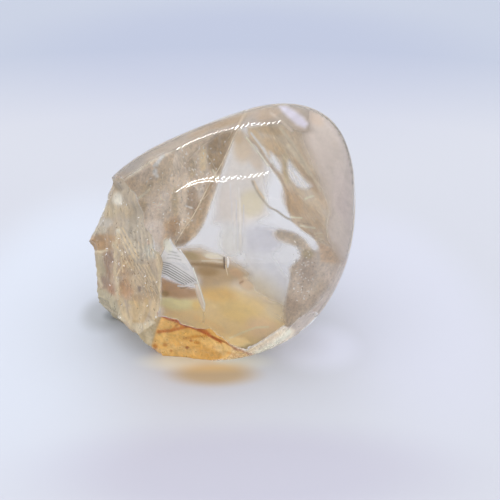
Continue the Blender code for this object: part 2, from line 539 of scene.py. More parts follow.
# The quartz itself: clear where polished, rough, chalky and painted where broken.
quartz = {
    "polishRoughness": 0.0,
    "breakRoughness": (0.25, 0.6),
    "tintPerMetre": 5.0,
    "tint": (0.90, 0.80, 0.63, 1.0),  # what is left of white, against the tint's density
    "white": (1.0, 1.0, 1.0),
    "drawnOut": (1, 1, 2.6),  # the breaks' grain runs up and down
    "grainScale": 900.0,
    "frosting": (0.7, 1.0),  # how much of the light a chalky face stops, from grain to grain
    "fleckScale": 620.0,
    "fleckShades": (0.72, 1.26),  # of the raw faces' dark and pale flecks
    "bumpScale": 1100.0,
    "bumpHeight": 0.00005,  # m
}


# Colours of the raw faces, with painted highlights along their ridges.
raw = {
    "lift": (0.90, 0.83, 0.64, 0.05),  # paint for each unit of light, and the light that is sheen
    "layers": [
        ("area", ((80, 170), (170, 170), (170, 370), (80, 370)), 5.0, (182, 164, 142), 1.0),
        ("oval", ((128, 200), (22, 30), 30), 0, (196, 184, 169), 0.9),
        ("oval", ((140, 210), (11, 14), 25), 0, (163, 151, 131), 0.8),
        ("oval", ((140, 236), (20, 28), -20), 0, (191, 182, 171), 0.95),
        ("oval", ((152, 218), (12, 14), 0), 0, (199, 191, 182), 0.9),
        ("oval", ((151, 251), (9, 9), 0), 0, (204, 208, 209), 0.9),
        ("oval", ((117, 199), (6, 8), 0), 0, (228, 229, 234), 0.95),
        ("oval", ((118, 187), (6, 4), 20), 0, (160, 144, 120), 0.9),
        ("oval", ((110, 211), (10, 8), -30), 0, (201, 186, 158), 0.9),
        ("oval", ((125, 212), (9, 8), 0), 0, (194, 176, 148), 0.9),
        ("oval", ((104, 223), (10, 6), -10), 0, (205, 202, 205), 0.95),
        ("oval", ((99, 231), (9, 5), -10), 0, (206, 200, 193), 0.9),
        ("area", ((90, 238), (98, 234), (112, 235), (119, 238), (117, 248), (108, 252), (98, 251),
                  (90, 249)), 2.5, (184, 150, 106), 0.97),
        ("oval", ((100, 244), (6, 3), -10), 0, (201, 165, 121), 0.8),
        ("oval", ((112, 241), (5, 5), 0), 0, (172, 139, 97), 0.7),
        ("oval", ((113, 245), (3, 4), 0), 0, (206, 190, 158), 0.8),
        ("line", ((92, 251.5), (101, 252), (106, 250.5)), 2.2, (226, 216, 198), 0.9),
        ("area", ((104, 252), (113, 251), (116, 262), (114, 276), (108, 280), (103, 268)), 3.0,
         (146, 114, 82), 0.95),
        ("oval", ((100, 270), (6, 13), -10), 0, (178, 167, 141), 0.95),
        ("oval", ((98, 258), (5, 6), 0), 0, (196, 186, 166), 0.8),
        ("oval", ((104, 283), (7, 9), -20), 0, (148, 122, 100), 0.9),
        ("oval", ((111, 290), (5, 8), -15), 0, (176, 130, 90), 0.9),
        ("line", ((112, 265), (112, 280), (117, 294)), 3.5, (196, 172, 150), 0.7),
        ("area", ((94, 286), (104, 290), (113, 296), (118, 305), (124, 322), (110, 318), (98, 305)), 2.5,
         (189, 182, 160), 0.95),
        ("line", ((104, 307), (114, 313), (124, 321)), 2.0, (214, 206, 192), 0.8),
        ("oval", ((125, 268), (10, 12), 0), 0, (166, 132, 92), 0.9),
        ("oval", ((126, 289), (9, 13), -10), 0, (184, 142, 94), 0.95),
        ("oval", ((137, 282), (10, 9), 0), 0, (191, 172, 147), 0.9),
        ("oval", ((134, 266), (12, 7), -30), 0, (170, 156, 137), 0.7),
        ("oval", ((152, 279), (7, 14), -20), 0, (168, 156, 138), 0.8),
        ("oval", ((139, 289), (2.6, 3.4), 0), 0, (126, 104, 86), 0.9),
        ("oval", ((138, 299), (12, 5), 0), 0, (176, 148, 110), 0.8),
        ("oval", ((132, 303), (6, 2.5), 0), 0, (212, 191, 143), 0.8),
        ("oval", ((137, 312), (11, 12), 0), 0, (201, 178, 137), 0.95),
        ("line", ((146, 300), (147, 312), (142, 322), (133, 322)), 3.0, (192, 163, 104), 0.8),
        ("line", ((121, 300), (124, 313), (132, 325)), 3.0, (209, 190, 150), 0.7),
        ("oval", ((154, 312), (5, 18), 0), 0, (205, 183, 146), 0.9),
        ("area", ((128, 323), (142, 324), (152, 318), (157, 326), (153, 340), (153, 356), (140, 344)), 2.5,
         (206, 194, 172), 0.95),
        ("oval", ((149, 338), (4, 9), 0), 0, (216, 207, 190), 0.9),
        # painted highlight along the ridge where the broken face folds
        ("line", ((118, 228), (115, 247), (115, 262), (114, 272), (117, 284), (117, 297), (121, 311),
                  (130, 324)), 2.6, (214, 196, 164), 0.85),
        # painted highlight along the second ridge
        ("line", ((157, 238), (158, 262), (160, 285), (159, 300), (156, 318)), 3.0, (211, 197, 174), 0.8),
        ("line", ((112, 178), (108, 192), (105, 206), (98, 221), (92, 234)), 2.4, (196, 196, 188), 0.8),
        ("line", ((91, 256), (96, 272), (101, 286)), 2.4, (214, 206, 188), 0.8),
        ("oval", ((148, 243), (2.4, 2.2), 0), 0, (232, 205, 188), 0.95),
        ("oval", ((137, 252), (3.4, 3.4), 0), 0, (234, 222, 206), 0.95),
        ("oval", ((137, 252), (1.5, 1.5), 0), 0, (188, 178, 166), 0.9),
        ("oval", ((118, 231), (3.5, 3), 0), 0, (226, 222, 214), 0.9),
        ("oval", ((130, 232), (2.5, 7), 10), 0, (146, 136, 122), 0.7),
        *fanLines(7, ((128, 232), (129, 250), (130, 262)), ((149, 226), (152, 240), (155, 258)),
                  (160, 149, 135), 0.55, 1.4),
        *fanLines(7, ((129.6, 232), (130.6, 250), (131.6, 262)), ((150.6, 226), (153.6, 240), (156.6, 258)),
                  (214, 207, 196), 0.5, 1.3),
        *fanLines(3, ((117, 232), (124, 246), (132, 262)), ((122, 228), (130, 243), (138, 258)),
                  (222, 202, 166), 0.75, 1.3),
        *fanLines(6, ((127, 262), (138, 277), (148, 291)), ((147, 266), (153, 278), (160, 293)),
                  (218, 200, 168), 0.6, 1.3),
        *fanLines(6, ((125.5, 263), (136.5, 278), (146.5, 292)), ((145.5, 267), (151.5, 279), (158.5, 294)),
                  (146, 122, 94), 0.5, 1.2),
        *fanLines(3, ((116, 246), (122, 256), (128, 268)), ((126, 262), (120, 268), (116, 276)),
                  (226, 206, 170), 0.7, 1.2),
    ],
    "chipLift": (1.30, 1.28, 1.15, 0.04),
    "chipLayers": [
        ("area", ((157, 327), (161, 318), (168, 308), (260, 308), (264, 370), (150, 370), (152, 345)), 1.2,
         (205, 163, 102), 1.0),
        ("oval", ((176, 335), (22, 7), 0), 0, (201, 160, 96), 0.8),
        ("oval", ((184, 323), (13, 6), 25), 0, (205, 140, 74), 0.85),
        ("oval", ((215, 343), (20, 8), 15), 0, (214, 178, 122), 0.9),
        ("oval", ((178, 352), (26, 6), 3), 0, (208, 170, 112), 0.8),
        ("oval", ((162, 340), (7, 8), 0), 0, (210, 172, 112), 0.8),
        ("line", ((158, 332), (170, 331), (182, 328), (192, 325)), 2.6, (171, 105, 50), 0.9),
        ("line", ((158, 314), (168, 319), (178, 322), (186, 325), (196, 329), (206, 334), (217, 340),
                  (229, 347), (238, 353)), 2.4, (158, 88, 34), 0.95),
        ("oval", ((182, 323.5), (7, 3), 25), 0, (142, 74, 25), 0.85),
        ("oval", ((203, 331), (10, 3), 25), 0, (160, 92, 40), 0.8),
        ("line", ((168, 316), (178, 317.5), (186, 324)), 2.0, (168, 104, 52), 0.8),
        ("line", ((172, 330), (178, 324), (183, 317)), 1.6, (176, 112, 58), 0.7),
        ("line", ((184, 339), (195, 337), (206, 336)), 2.2, (185, 128, 66), 0.7),
        ("oval", ((155, 347), (3, 4), 0), 0, (172, 112, 52), 0.8),
        ("oval", ((165, 345), (3, 2.4), 0), 0, (172, 112, 58), 0.7),
        ("oval", ((187, 348), (2.2, 2), 0), 0, (140, 86, 40), 0.9),
        ("oval", ((191, 341), (2, 1.6), 0), 0, (150, 92, 44), 0.85),
        ("oval", ((197, 343), (4, 2), 0), 0, (178, 120, 62), 0.8),
        ("oval", ((171, 351), (1.6, 1.6), 0), 0, (156, 98, 46), 0.8),
        ("line", ((213, 347), (226, 351), (234, 354)), 2.0, (176, 112, 52), 0.6),
        ("oval", ((224, 350), (13, 5), 15), 0, (228, 200, 152), 0.85),
        ("area", ((240, 352), (262, 339), (284, 325), (306, 308), (340, 280), (352, 300), (330, 340),
                  (292, 352), (250, 366)), 2.5, (182, 170, 163), 1.0),
        ("oval", ((308, 322), (14, 9), -40), 0, (188, 178, 174), 0.8),
        ("area", ((222, 340), (236, 346.5), (248, 352), (262, 358.5), (244, 362), (222, 362)), 1.2,
         (216, 182, 128), 1.0),
        ("area", ((244, 351), (262, 340), (285, 325), (295, 330), (292, 341), (276, 354), (260, 360),
                  (250, 356)), 1.8, (222, 212, 199), 1.0),
        ("line", ((257, 354), (270, 347), (284, 337), (289, 332)), 4.5, (240, 232, 221), 0.9),
        ("line", ((248, 351.5), (258, 346.5), (270, 339), (280, 333)), 2.2, (203, 186, 160), 0.75),
        ("line", ((264, 354), (276, 346.5), (288, 338)), 1.4, (202, 192, 182), 0.6),
        ("line", ((272, 342), (277, 347)), 1.2, (206, 196, 186), 0.5),
        ("line", ((278, 338), (283, 343)), 1.2, (206, 196, 186), 0.5),
        ("line", ((212, 337), (226, 343), (236, 348.5), (248, 353.5), (259, 357.5)), 1.5, (150, 92, 44), 0.9),
        ("oval", ((236, 349), (5, 2), 20), 0, (142, 92, 44), 0.8),
        ("line", ((228, 353), (240, 357), (252, 359)), 1.6, (196, 146, 92), 0.5),
    ],
}


def paintRaw(places):
    pixels = pixelsOf(places)
    colours, _ = paintLayers(raw["layers"], pixels, raw["lift"])
    chip, cover = paintLayers(raw["chipLayers"], pixels, raw["chipLift"])
    return colours + (chip - colours) * cover[:, None]


def makeQuartz():
    material, tree, surface = newMaterial("smokyQuartz")
    surface.inputs["IOR"].default_value = quartzIor
    broken = attribute(tree, "broken")
    chalk = attribute(tree, "chalk")
    upright = placeOf(tree, stretch=quartz["drawnOut"])
    grain = noiseAt(tree, upright, quartz["grainScale"], detail=5.0)
    rough = between(tree, grain, 0.35, 0.65, *quartz["breakRoughness"])
    polish = quartz["polishRoughness"]
    mixed = addNode(tree, "ShaderNodeMix", {"Factor": broken, "A": polish, "B": rough})
    tree.links.new(mixed.outputs["Result"], surface.inputs["Roughness"])

    flecks = noiseAt(tree, upright, quartz["fleckScale"], detail=8.0, roughness=0.75, distortion=0.4)
    shade = between(tree, flecks, 0.34, 0.66, *quartz["fleckShades"])
    flecked = scaled(tree, attribute(tree, "painted", "Vector"), shade)
    tree.links.new(mixColours(tree, chalk, quartz["white"], flecked), surface.inputs["Base Color"])
    frosting = maths(tree, "MULTIPLY", chalk, between(tree, grain, 0.3, 0.7, *quartz["frosting"]), clamp=True)
    clearness = maths(tree, "SUBTRACT", 1.0, frosting)
    tree.links.new(clearness, surface.inputs["Transmission Weight"])

    bumps = noiseAt(tree, upright, quartz["bumpScale"], detail=3.0, roughness=0.5)
    values = {"Strength": broken, "Height": bumps, "Distance": quartz["bumpHeight"]}
    bump = addNode(tree, "ShaderNodeBump", values)
    tree.links.new(bump.outputs["Normal"], surface.inputs["Normal"])
    values = {"Color": quartz["tint"], "Density": quartz["tintPerMetre"]}
    tint = addNode(tree, "ShaderNodeVolumeAbsorption", values)
    tree.links.new(tint.outputs["Volume"], tree.nodes["Material Output"].inputs["Volume"])
    return material


def crossings(ways, ends, nearest):
    # how far along each edge its two surfaces change places
    low = np.zeros(len(ends))
    high = np.ones(len(ends))
    rows = np.arange(len(ends))
    first, second = nearest[ends[:, 0]], nearest[ends[:, 1]]
    for _ in range(stone["crossingSteps"]):
        middle = (low + high) / 2
        halfway = ways[ends[:, 0]] + (ways[ends[:, 1]] - ways[ends[:, 0]]) * middle[:, None]
        reach = surfacesAlong(unitRows(halfway))
        before = reach[first, rows] < reach[second, rows]
        low = np.where(before, middle, low)
        high = np.where(before, high, middle)
    return (low + high) / 2


def settleOnRidges(bm, ways):
    # moves the nearer end of each edge that crosses a ridge onto the ridge
    nearest = surfacesAlong(ways).argmin(axis=0)
    ends = np.array([[v.index for v in edge.verts] for edge in bm.edges])
    ends = ends[nearest[ends[:, 0]] != nearest[ends[:, 1]]]
    shares = crossings(ways, ends, nearest)
    settled = ways.copy()
    for row in np.argsort(-np.minimum(shares, 1 - shares)):
        a, b = ends[row]
        mover = a if shares[row] < 0.5 else b
        settled[mover] = unit(ways[a] + (ways[b] - ways[a]) * shares[row])
    return settled


def directionsOf(bm):
    bm.verts.index_update()
    return np.array([v.co.normalized()[:] for v in bm.verts])


def hackle(place):
    total = 0.0
    for size, height in stone["hackle"]:
        total += height * (1.0 - 2.0 * abs(noise.noise(place / size)))
    return total


def hackleAt(place, below, roughness):
    share = min(1.0, below / stone["hackleFrom"])
    least = stone["leastHackle"]
    return max(0.0, hackle(place) * share * (least + (1.0 - least) * roughness))


def shapeAndPaint(bm, ways):
    # moves each point out to the nearest surface along its way, and notes how broken and chalky
    # it is there and its paint
    rows = surfacesAlong(ways)
    nearest = rows.argmin(axis=0)
    polished, reach = rows[0], rows.min(axis=0)
    breakLayer = bm.verts.layers.float.new("broken")
    chalkLayer = bm.verts.layers.float.new("chalk")
    paintLayer = bm.verts.layers.float_vector.new("painted")
    places = ways * reach[:, None]
    painted = paintRaw(places)
    scuffs = coverOf("area", stone["scuffed"], stone["scuffedEdge"], pixelsOf(places))
    scuffs *= ways @ eyeBack > stone["scuffedFacing"]
    chalks = [0.0] + [stone["chalk"].get(name, stone["rawChalk"]) for name in breakNames]
    for i, vert in enumerate(bm.verts):
        place = Vector(places[i])
        below = polished[i] - reach[i]
        if nearest[i] > 0:
            roughness = stone["breaks"][breakNames[nearest[i] - 1]][3]
            place -= Vector(ways[i]) * hackleAt(place, below, roughness)
        broken = below / stone["breakEdge"]
        vert[breakLayer] = min(1.0, max(stone["scuffedBreak"] * scuffs[i], broken))
        chalky = min(1.0, max(0.0, broken)) * chalks[nearest[i]]
        vert[chalkLayer] = max(stone["scuffedChalk"] * scuffs[i], chalky)
        vert[paintLayer] = painted[i]
        vert.co = (place + Vector(toMiddle)) * mm


def cutBase(bm):
    everything = bm.verts[:] + bm.edges[:] + bm.faces[:]
    weld = stone["weld"] * mm
    bmesh.ops.bisect_plane(bm, geom=everything, dist=weld, plane_no=(0, 0, -1), clear_outer=True)
    rim = [edge for edge in bm.edges if edge.is_boundary]
    bmesh.ops.contextual_create(bm, geom=rim)
    bmesh.ops.triangulate(bm, faces=[face for face in bm.faces if len(face.verts) > 4])
    bmesh.ops.recalc_face_normals(bm, faces=bm.faces)


def makeStone(material):
    # an icosphere, finer where the stone is broken
    bm = bmesh.new()
    bmesh.ops.create_icosphere(bm, subdivisions=stone["subdivisions"], radius=1.0)
    broken = surfacesAlong(directionsOf(bm)).argmin(axis=0) > 0
    rough = [e for e in bm.edges if broken[e.verts[0].index] or broken[e.verts[1].index]]
    bmesh.ops.subdivide_edges(bm, edges=rough, cuts=1, use_grid_fill=True)
    bmesh.ops.triangulate(bm, faces=bm.faces)
    bm.edges.index_update()
    shapeAndPaint(bm, settleOnRidges(bm, directionsOf(bm)))
    cutBase(bm)
    mesh = bpy.data.meshes.new("quartzStone")
    bm.to_mesh(mesh)
    bm.free()
    mesh.materials.append(material)
    mesh.shade_smooth()
    mesh.set_sharp_from_angle(angle=math.radians(stone["sharpFrom"]))
    piece = bpy.data.objects.new("quartzStone", mesh)
    bpy.context.collection.objects.link(piece)
    return piece


# The room: floor, sky, lamps and camera.
room = {
    "floorSize": 3.0,  # m
    "floorDrop": 0.00005,  # m below the stone's base
    # painted shade: the floor turns from its colour near the stone to a darker, bluer one far away
    "floorNear": (0.50, 0.515, 0.565),
    "floorFarShade": (0.395, 0.43, 0.51),
    "farFrom": 0.20,  # m from the stone, where the floor starts to turn
    "farTo": 0.34,
    "floorRoughness": 0.55,
    "floorGloss": 0.25,
    "skyBack": (0.92, 0.96, 1.06),
    "skyFront": (1.5, 1.48, 1.47),
    "skyTop": (1.62, 1.62, 1.65),
    "frontToBack": (-0.9, 0.5),  # where the sky changes, as the Y and the Z of its direction
    "sideToTop": (0.35, 0.9),
    "strength": 1.0,
    # painted light and shade on the floor round the stone, not cast by it: the middle and half
    # sizes in pixels, and what each does to the floor's red, green and blue
    "paintedLightAndShade": {
        "leftGlow": ((60, 300), (150, 130), (1.10, 1.14, 1.17)),
        "rightGlow": ((400, 300), (120, 110), (1.06, 1.06, 1.10)),
        "underGlow": ((205, 361), (80, 14), (1.42, 1.38, 1.14)),
        "amberGlow": ((214, 374), (58, 15), (0.91, 0.70, 0.43)),
        "rightPaintedLight": ((312, 345), (58, 30), (1.20, 1.20, 1.24)),
        "frontPaintedShade": ((250, 470), (280, 60), (0.90, 0.87, 0.92)),
        "backPaintedShade": ((250, 50), (320, 60), (0.90, 0.91, 0.97)),
        "leftShade": ((104, 313), (30, 22), (0.74, 0.73, 0.70)),
        "contactShade": ((114, 315), (14, 7), (0.66, 0.66, 0.64)),
    },
    "patchCore": 0.35,  # the share of a patch's half sizes where it starts to fade
}


def floorAt(pixels):
    ways = raysThrough(pixels)
    places = eyePlace + toMiddle + ways * (-(eyePlace + toMiddle)[2] / ways[:, 2])[:, None]
    return places * mm


def makeFloor():
    bpy.ops.mesh.primitive_plane_add(size=room["floorSize"], location=(0, 0, -room["floorDrop"]))
    floor = bpy.context.object
    floor.name = "paleFloor"
    material, tree, surface = newMaterial("paleFloor")
    surface.inputs["Roughness"].default_value = room["floorRoughness"]
    surface.inputs["Specular IOR Level"].default_value = room["floorGloss"]
    spot = placeOf(tree)
    away = vectorMaths(tree, "LENGTH", {0: spot}, "Value")
    far = between(tree, away, room["farFrom"], room["farTo"])
    colour = ramp(tree, far, ((0.0, room["floorNear"]), (1.0, room["floorFarShade"])))
    # each patch multiplies the floor's colour, as painted light or painted shade
    for (x, y), (halfX, halfY), share in room["paintedLightAndShade"].values():
        middle, right, up = floorAt([(x, y), (x + halfX, y), (x, y - halfY)])
        values = {"Vector": spot, "Location": middle, "Scale": (right[0] - middle[0], up[1] - middle[1], 1)}
        patch = addNode(tree, "ShaderNodeMapping", values, vector_type="TEXTURE").outputs["Vector"]
        out = vectorMaths(tree, "LENGTH", {0: patch}, "Value")
        fade = between(tree, out, 1.0, room["patchCore"], interpolation_type="SMOOTHSTEP")
        tint = mixColours(tree, fade, (1.0, 1.0, 1.0), share)
        colour = vectorMaths(tree, "MULTIPLY", {0: colour, 1: tint})
    tree.links.new(colour, surface.inputs["Base Color"])
    floor.data.materials.append(material)


def makeSky():
    world = bpy.data.worlds.new("softRoom")
    world.use_nodes = True
    tree = world.node_tree
    way = addNode(tree, "ShaderNodeTexCoord").outputs["Generated"]
    parts = addNode(tree, "ShaderNodeSeparateXYZ", {"Vector": way})
    frontToBack = between(tree, parts.outputs["Y"], *room["frontToBack"])
    sides = ramp(tree, frontToBack, ((0.0, room["skyFront"]), (1.0, room["skyBack"])))
    overhead = between(tree, parts.outputs["Z"], *room["sideToTop"])
    whole = mixColours(tree, overhead, sides, room["skyTop"])
    tree.links.new(whole, tree.nodes["Background"].inputs["Color"])
    tree.nodes["Background"].inputs["Strength"].default_value = room["strength"]
    bpy.context.scene.world = world


# Strings of small lamps, each placed where the polished surface mirrors it to the camera along a
# line of pixels. A row has that line, its number of lamps, the length and width in pixels of the
# dash that each shows as, and the dash's slant from the row in degrees.
lampStrings = {
    "rows": {
        "upperLeft": (((178, 148.5), (196, 139.6), (214.5, 132.9), (232, 128)), 11, 4.9, 0.5, 14),
        "upperRight": (((237, 127), (251.5, 124.2), (270, 123.3), (279, 121.8)), 9, 5.0, 0.75, 34),
        "lowerFirst": (((177.5, 190.8), (188.6, 183.6), (199.7, 179.7), (211, 177.6)), 8, 5.4, 0.8, 6),
        "lowerSecond": (((188, 186.4), (198, 182.6), (210, 181), (224, 181.4)), 8, 5.2, 0.75, 12),
        "lowerRight": (((217, 178), (229.3, 177.6), (242.2, 177.5), (255.2, 175.1), (266.3, 173.2)),
                       10, 5.2, 0.85, 34),
    },
    "away": 240.0,  # mm from the stone
    "radiance": 34.0,
}


def mirrored(pixels):
    # places in metres, as far away as the lamps, that the stone mirrors to these pixels
    entry, ways, _ = meetPolish(pixels)
    normals = polishNormals(entry)
    back = ways - 2 * (ways * normals).sum(axis=1)[:, None] * normals
    return (entry + back * lampStrings["away"] + toMiddle) * mm


def alongLine(points, count, steps=24):
    # evenly spaced points on a smooth line through the given ones
    points = np.array(points, float)
    fine = []
    padded = np.vstack([2 * points[0] - points[1], points, 2 * points[-1] - points[-2]])
    for i in range(1, len(padded) - 2):
        p0, p1, p2, p3 = padded[i - 1 : i + 3]
        for t in np.linspace(0, 1, steps, endpoint=False):
            bendPart = (2 * p0 - 5 * p1 + 4 * p2 - p3) * t**2 + (3 * p1 - p0 - 3 * p2 + p3) * t**3
            fine.append(0.5 * (2 * p1 + (p2 - p0) * t + bendPart))
    fine = np.array(fine + [points[-1]])
    lengths = np.concatenate([[0], np.linalg.norm(np.diff(fine, axis=0), axis=1).cumsum()])
    wanted = np.linspace(0, lengths[-1], count)
    return np.stack([np.interp(wanted, lengths, column) for column in fine.T], axis=1)


def makeLamp(name, centre, turned, length, width):
    side = np.array([-turned[1], turned[0]]) * width / 2
    half = turned * length / 2
    ends = mirrored([centre - half, centre + half, centre - side, centre + side, centre])
    long, short, place = ends[1] - ends[0], ends[3] - ends[2], ends[4]
    short -= unit(long) * (short @ unit(long))
    light = bpy.data.lights.new(name, "AREA")
    light.shape = "RECTANGLE"
    light.size, light.size_y = np.linalg.norm(long), np.linalg.norm(short)
    light.energy = lampStrings["radiance"] * math.pi * light.size * light.size_y
    outward = unit(place - toMiddle * mm)
    xAxis = unit(long - outward * (long @ outward))
    turn = Matrix(np.array([xAxis, np.cross(outward, xAxis), outward]).T)
    lamp = bpy.data.objects.new(name, light)
    lamp.matrix_world = Matrix.Translation(place) @ turn.to_4x4()
    lamp.visible_diffuse = False
    lamp.visible_transmission = False
    bpy.context.collection.objects.link(lamp)


def makeLamps():
    for name, (points, count, length, width, slant) in lampStrings["rows"].items():
        centres = alongLine(points, count)
        runs = unitRows(np.gradient(centres, axis=0))
        angle = math.radians(slant)
        for i, (centre, run) in enumerate(zip(centres, runs)):
            turned = np.array([run[0] * math.cos(angle) + run[1] * math.sin(angle),
                               run[1] * math.cos(angle) - run[0] * math.sin(angle)])
            makeLamp(f"{name}Lamp{i}", centre, turned, length, width)


def makeCamera():
    data = bpy.data.cameras.new("camera")
    data.sensor_width = eye["sensor"]
    data.lens = eye["sensor"] * eye["distance"] * eye["pixelsPerMm"] / eye["frame"]
    data.shift_x = 0.5 - eye["targetPixel"][0] / eye["frame"]
    data.shift_y = eye["targetPixel"][1] / eye["frame"] - 0.5
    data.clip_start = 0.01
    camera = bpy.data.objects.new("camera", data)
    turn = Matrix(np.array([eyeRight, eyeUp, eyeBack]).T)
    camera.matrix_world = Matrix.Translation((eyePlace + toMiddle) * mm) @ turn.to_4x4()
    bpy.context.collection.objects.link(camera)
    bpy.context.scene.camera = camera


# Light goes round inside the clear stone many times before it leaves.
bpy.context.scene.cycles.max_bounces = 32
bpy.context.scene.cycles.transmission_bounces = 32
bpy.context.scene.cycles.glossy_bounces = 24
bpy.context.scene.cycles.transparent_max_bounces = 24
bpy.context.scene.view_settings.view_transform = "Standard"
makeCamera()
makeFloor()
makeSky()
makeLamps()
print("camera, floor and lights made")

quartzStone = makeStone(makeQuartz())
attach(quartzStone, "root")
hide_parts("rutilated_quartz")
print("stone made:", len(quartzStone.data.polygons), "faces")

# Veils, healed cracks and stains, and a band of painted reflection: thin sheets in the stone.
# Each has its frame in pixels, lies at a share of the way from the front face to the back, leans
# by so much of that way to the right and downwards, and ripples. What a sheet or its look doesn't say is as
# follows.
sheetDefaults = {
    "step": 1.2,  # pixels between points
    "lean": (0.0, 0.0),
    "leanOver": 100.0,  # pixels
    "exactly": False,  # traced at each point, not read from the map
    "lift": (1.62, 1.62, 1.55, 0.05),
    "rimFade": 3.0,  # mm in which a sheet fades at the rim of what is seen
    "rimPixels": 2.2,  # and the same in pixels, where that is less
    "clearBelow": 0.02,  # faces that cover less are left out
    "pixelsPerUnit": 100.0,  # of the sheet's UV map
}
lookDefaults = {
    "grain": (0.95, 1.05),
    "grainScale": 30.0,
    "wander": 0.5,
    "roughness": 0.6,
    "gloss": 0.15,
    # thick and thin places run like the streaks, but shorter, turned by so much and finer
    "thickness": {"stretch": 0.6, "turn": 5.0, "scale": 1.8},
}


def keepPiece(name, mesh):
    piece = bpy.data.objects.new(name, mesh)
    bpy.context.collection.objects.link(piece)
    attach(piece, "root")
    return piece


def awayFrom(rim, points, seen):
    # how far each point that is seen lies from the nearest one of the rim
    tree = kdtree.KDTree(len(rim))
    for i in rim:
        tree.insert(points[i], i)
    tree.balance()
    return np.array([tree.find(point)[2] if shown else 0.0 for point, shown in zip(points, seen)])


def fadeAtRim(sheet, places, pixels, seen, rows, columns):
    # 0 at the rim of what is seen, 1 once away from it, so that a sheet has no ragged edge
    ringed = np.pad(seen.reshape(rows, columns), 1, constant_values=True)
    sides = [ringed[y : y + rows, x : x + columns] for y in range(3) for x in range(3)]
    rim = np.flatnonzero(seen & ~np.all(sides, axis=0).ravel())
    if not len(rim):
        return np.ones(len(places))
    flat = np.pad(pixels, ((0, 0), (0, 1)))
    inSpace = smooth(awayFrom(rim, places / mm, seen), 0.0, sheet["rimFade"])
    inView = smooth(awayFrom(rim, flat, seen), 0.0, sheet["rimPixels"])
    return np.maximum(inSpace, inView)


def makeSheet(name, values):
    sheet = {**sheetDefaults, **values}
    left, top, right, bottom = sheet["frame"]
    pixels, rows, columns = pixelGrid(left, top, right, bottom, sheet["step"])
    colours, cover = paintLayers(sheet["layers"], pixels, sheet["lift"])
    middle = np.array([(left + right) / 2, (top + bottom) / 2])
    seed = 7.0 * len(name)
    ripples = [noise.noise(Vector((*pixel, seed)) / sheet["rippleSize"]) for pixel in pixels]
    tilt = (pixels - middle) / sheet["leanOver"] @ np.array(sheet["lean"])
    shares = sheet["share"] + tilt + np.array(ripples) * sheet["ripple"]
    places, seen = insideAt(pixels, shares, sheet["exactly"])
    cover *= fadeAtRim(sheet, places, pixels, seen, rows, columns)
    faces = gridFaces(rows, columns)
    faces = faces[seen[faces].all(axis=1) & (cover[faces].max(axis=1) > sheet["clearBelow"])]
    used, faces = np.unique(faces, return_inverse=True)
    mesh = bpy.data.meshes.new(name)
    mesh.from_pydata(places[used].tolist(), [], faces.reshape(-1, 4).tolist())
    view = mesh.uv_layers.new(name="view")
    scale = (sheet["pixelsPerUnit"], -sheet["pixelsPerUnit"])
    view.data.foreach_set("uv", (pixels[used][faces.ravel()] / scale).ravel())
    mesh.attributes.new("cover", "FLOAT", "POINT").data.foreach_set("value", cover[used])
    painted = mesh.attributes.new("painted", "FLOAT_VECTOR", "POINT")
    painted.data.foreach_set("vector", colours[used].ravel())
    mesh.materials.append(makeCloud(name, sheet["look"]))
    mesh.shade_smooth()
    return keepPiece(name, mesh)


def makeCloud(name, values):
    # streaks run along the turn, in degrees up from the right as the camera sees them
    look = {**lookDefaults, **values}
    material, tree, surface = newMaterial(name)
    along = placeOf(tree, "UV", (look["stretch"], 1, 1), look["turn"])
    tone = noiseAt(tree, along, look["scale"], detail=6.0, roughness=0.7, distortion=look["wander"])
    shade = between(tree, tone, 0.33, 0.67, *look["shades"])
    fine = noiseAt(tree, placeOf(tree, "UV"), look["grainScale"], detail=5.0, roughness=0.75)
    shade = maths(tree, "MULTIPLY", shade, between(tree, fine, 0.33, 0.67, *look["grain"]))
    streaked = scaled(tree, attribute(tree, "painted", "Vector"), shade)
    tree.links.new(streaked, surface.inputs["Base Color"])
    thick = look["thickness"]
    stretch = (look["stretch"] * thick["stretch"], 1, 1)
    across = placeOf(tree, "UV", stretch, look["turn"] + thick["turn"])
    thickness = noiseAt(tree, across, look["scale"] * thick["scale"], detail=8.0, roughness=0.72)
    opacity = between(tree, thickness, 0.33, 0.67, *look["opacity"])
    alpha = maths(tree, "MULTIPLY", attribute(tree, "cover"), opacity, clamp=True)
    tree.links.new(alpha, surface.inputs["Alpha"])
    surface.inputs["Roughness"].default_value = look["roughness"]
    surface.inputs["Specular IOR Level"].default_value = look["gloss"]
    return material


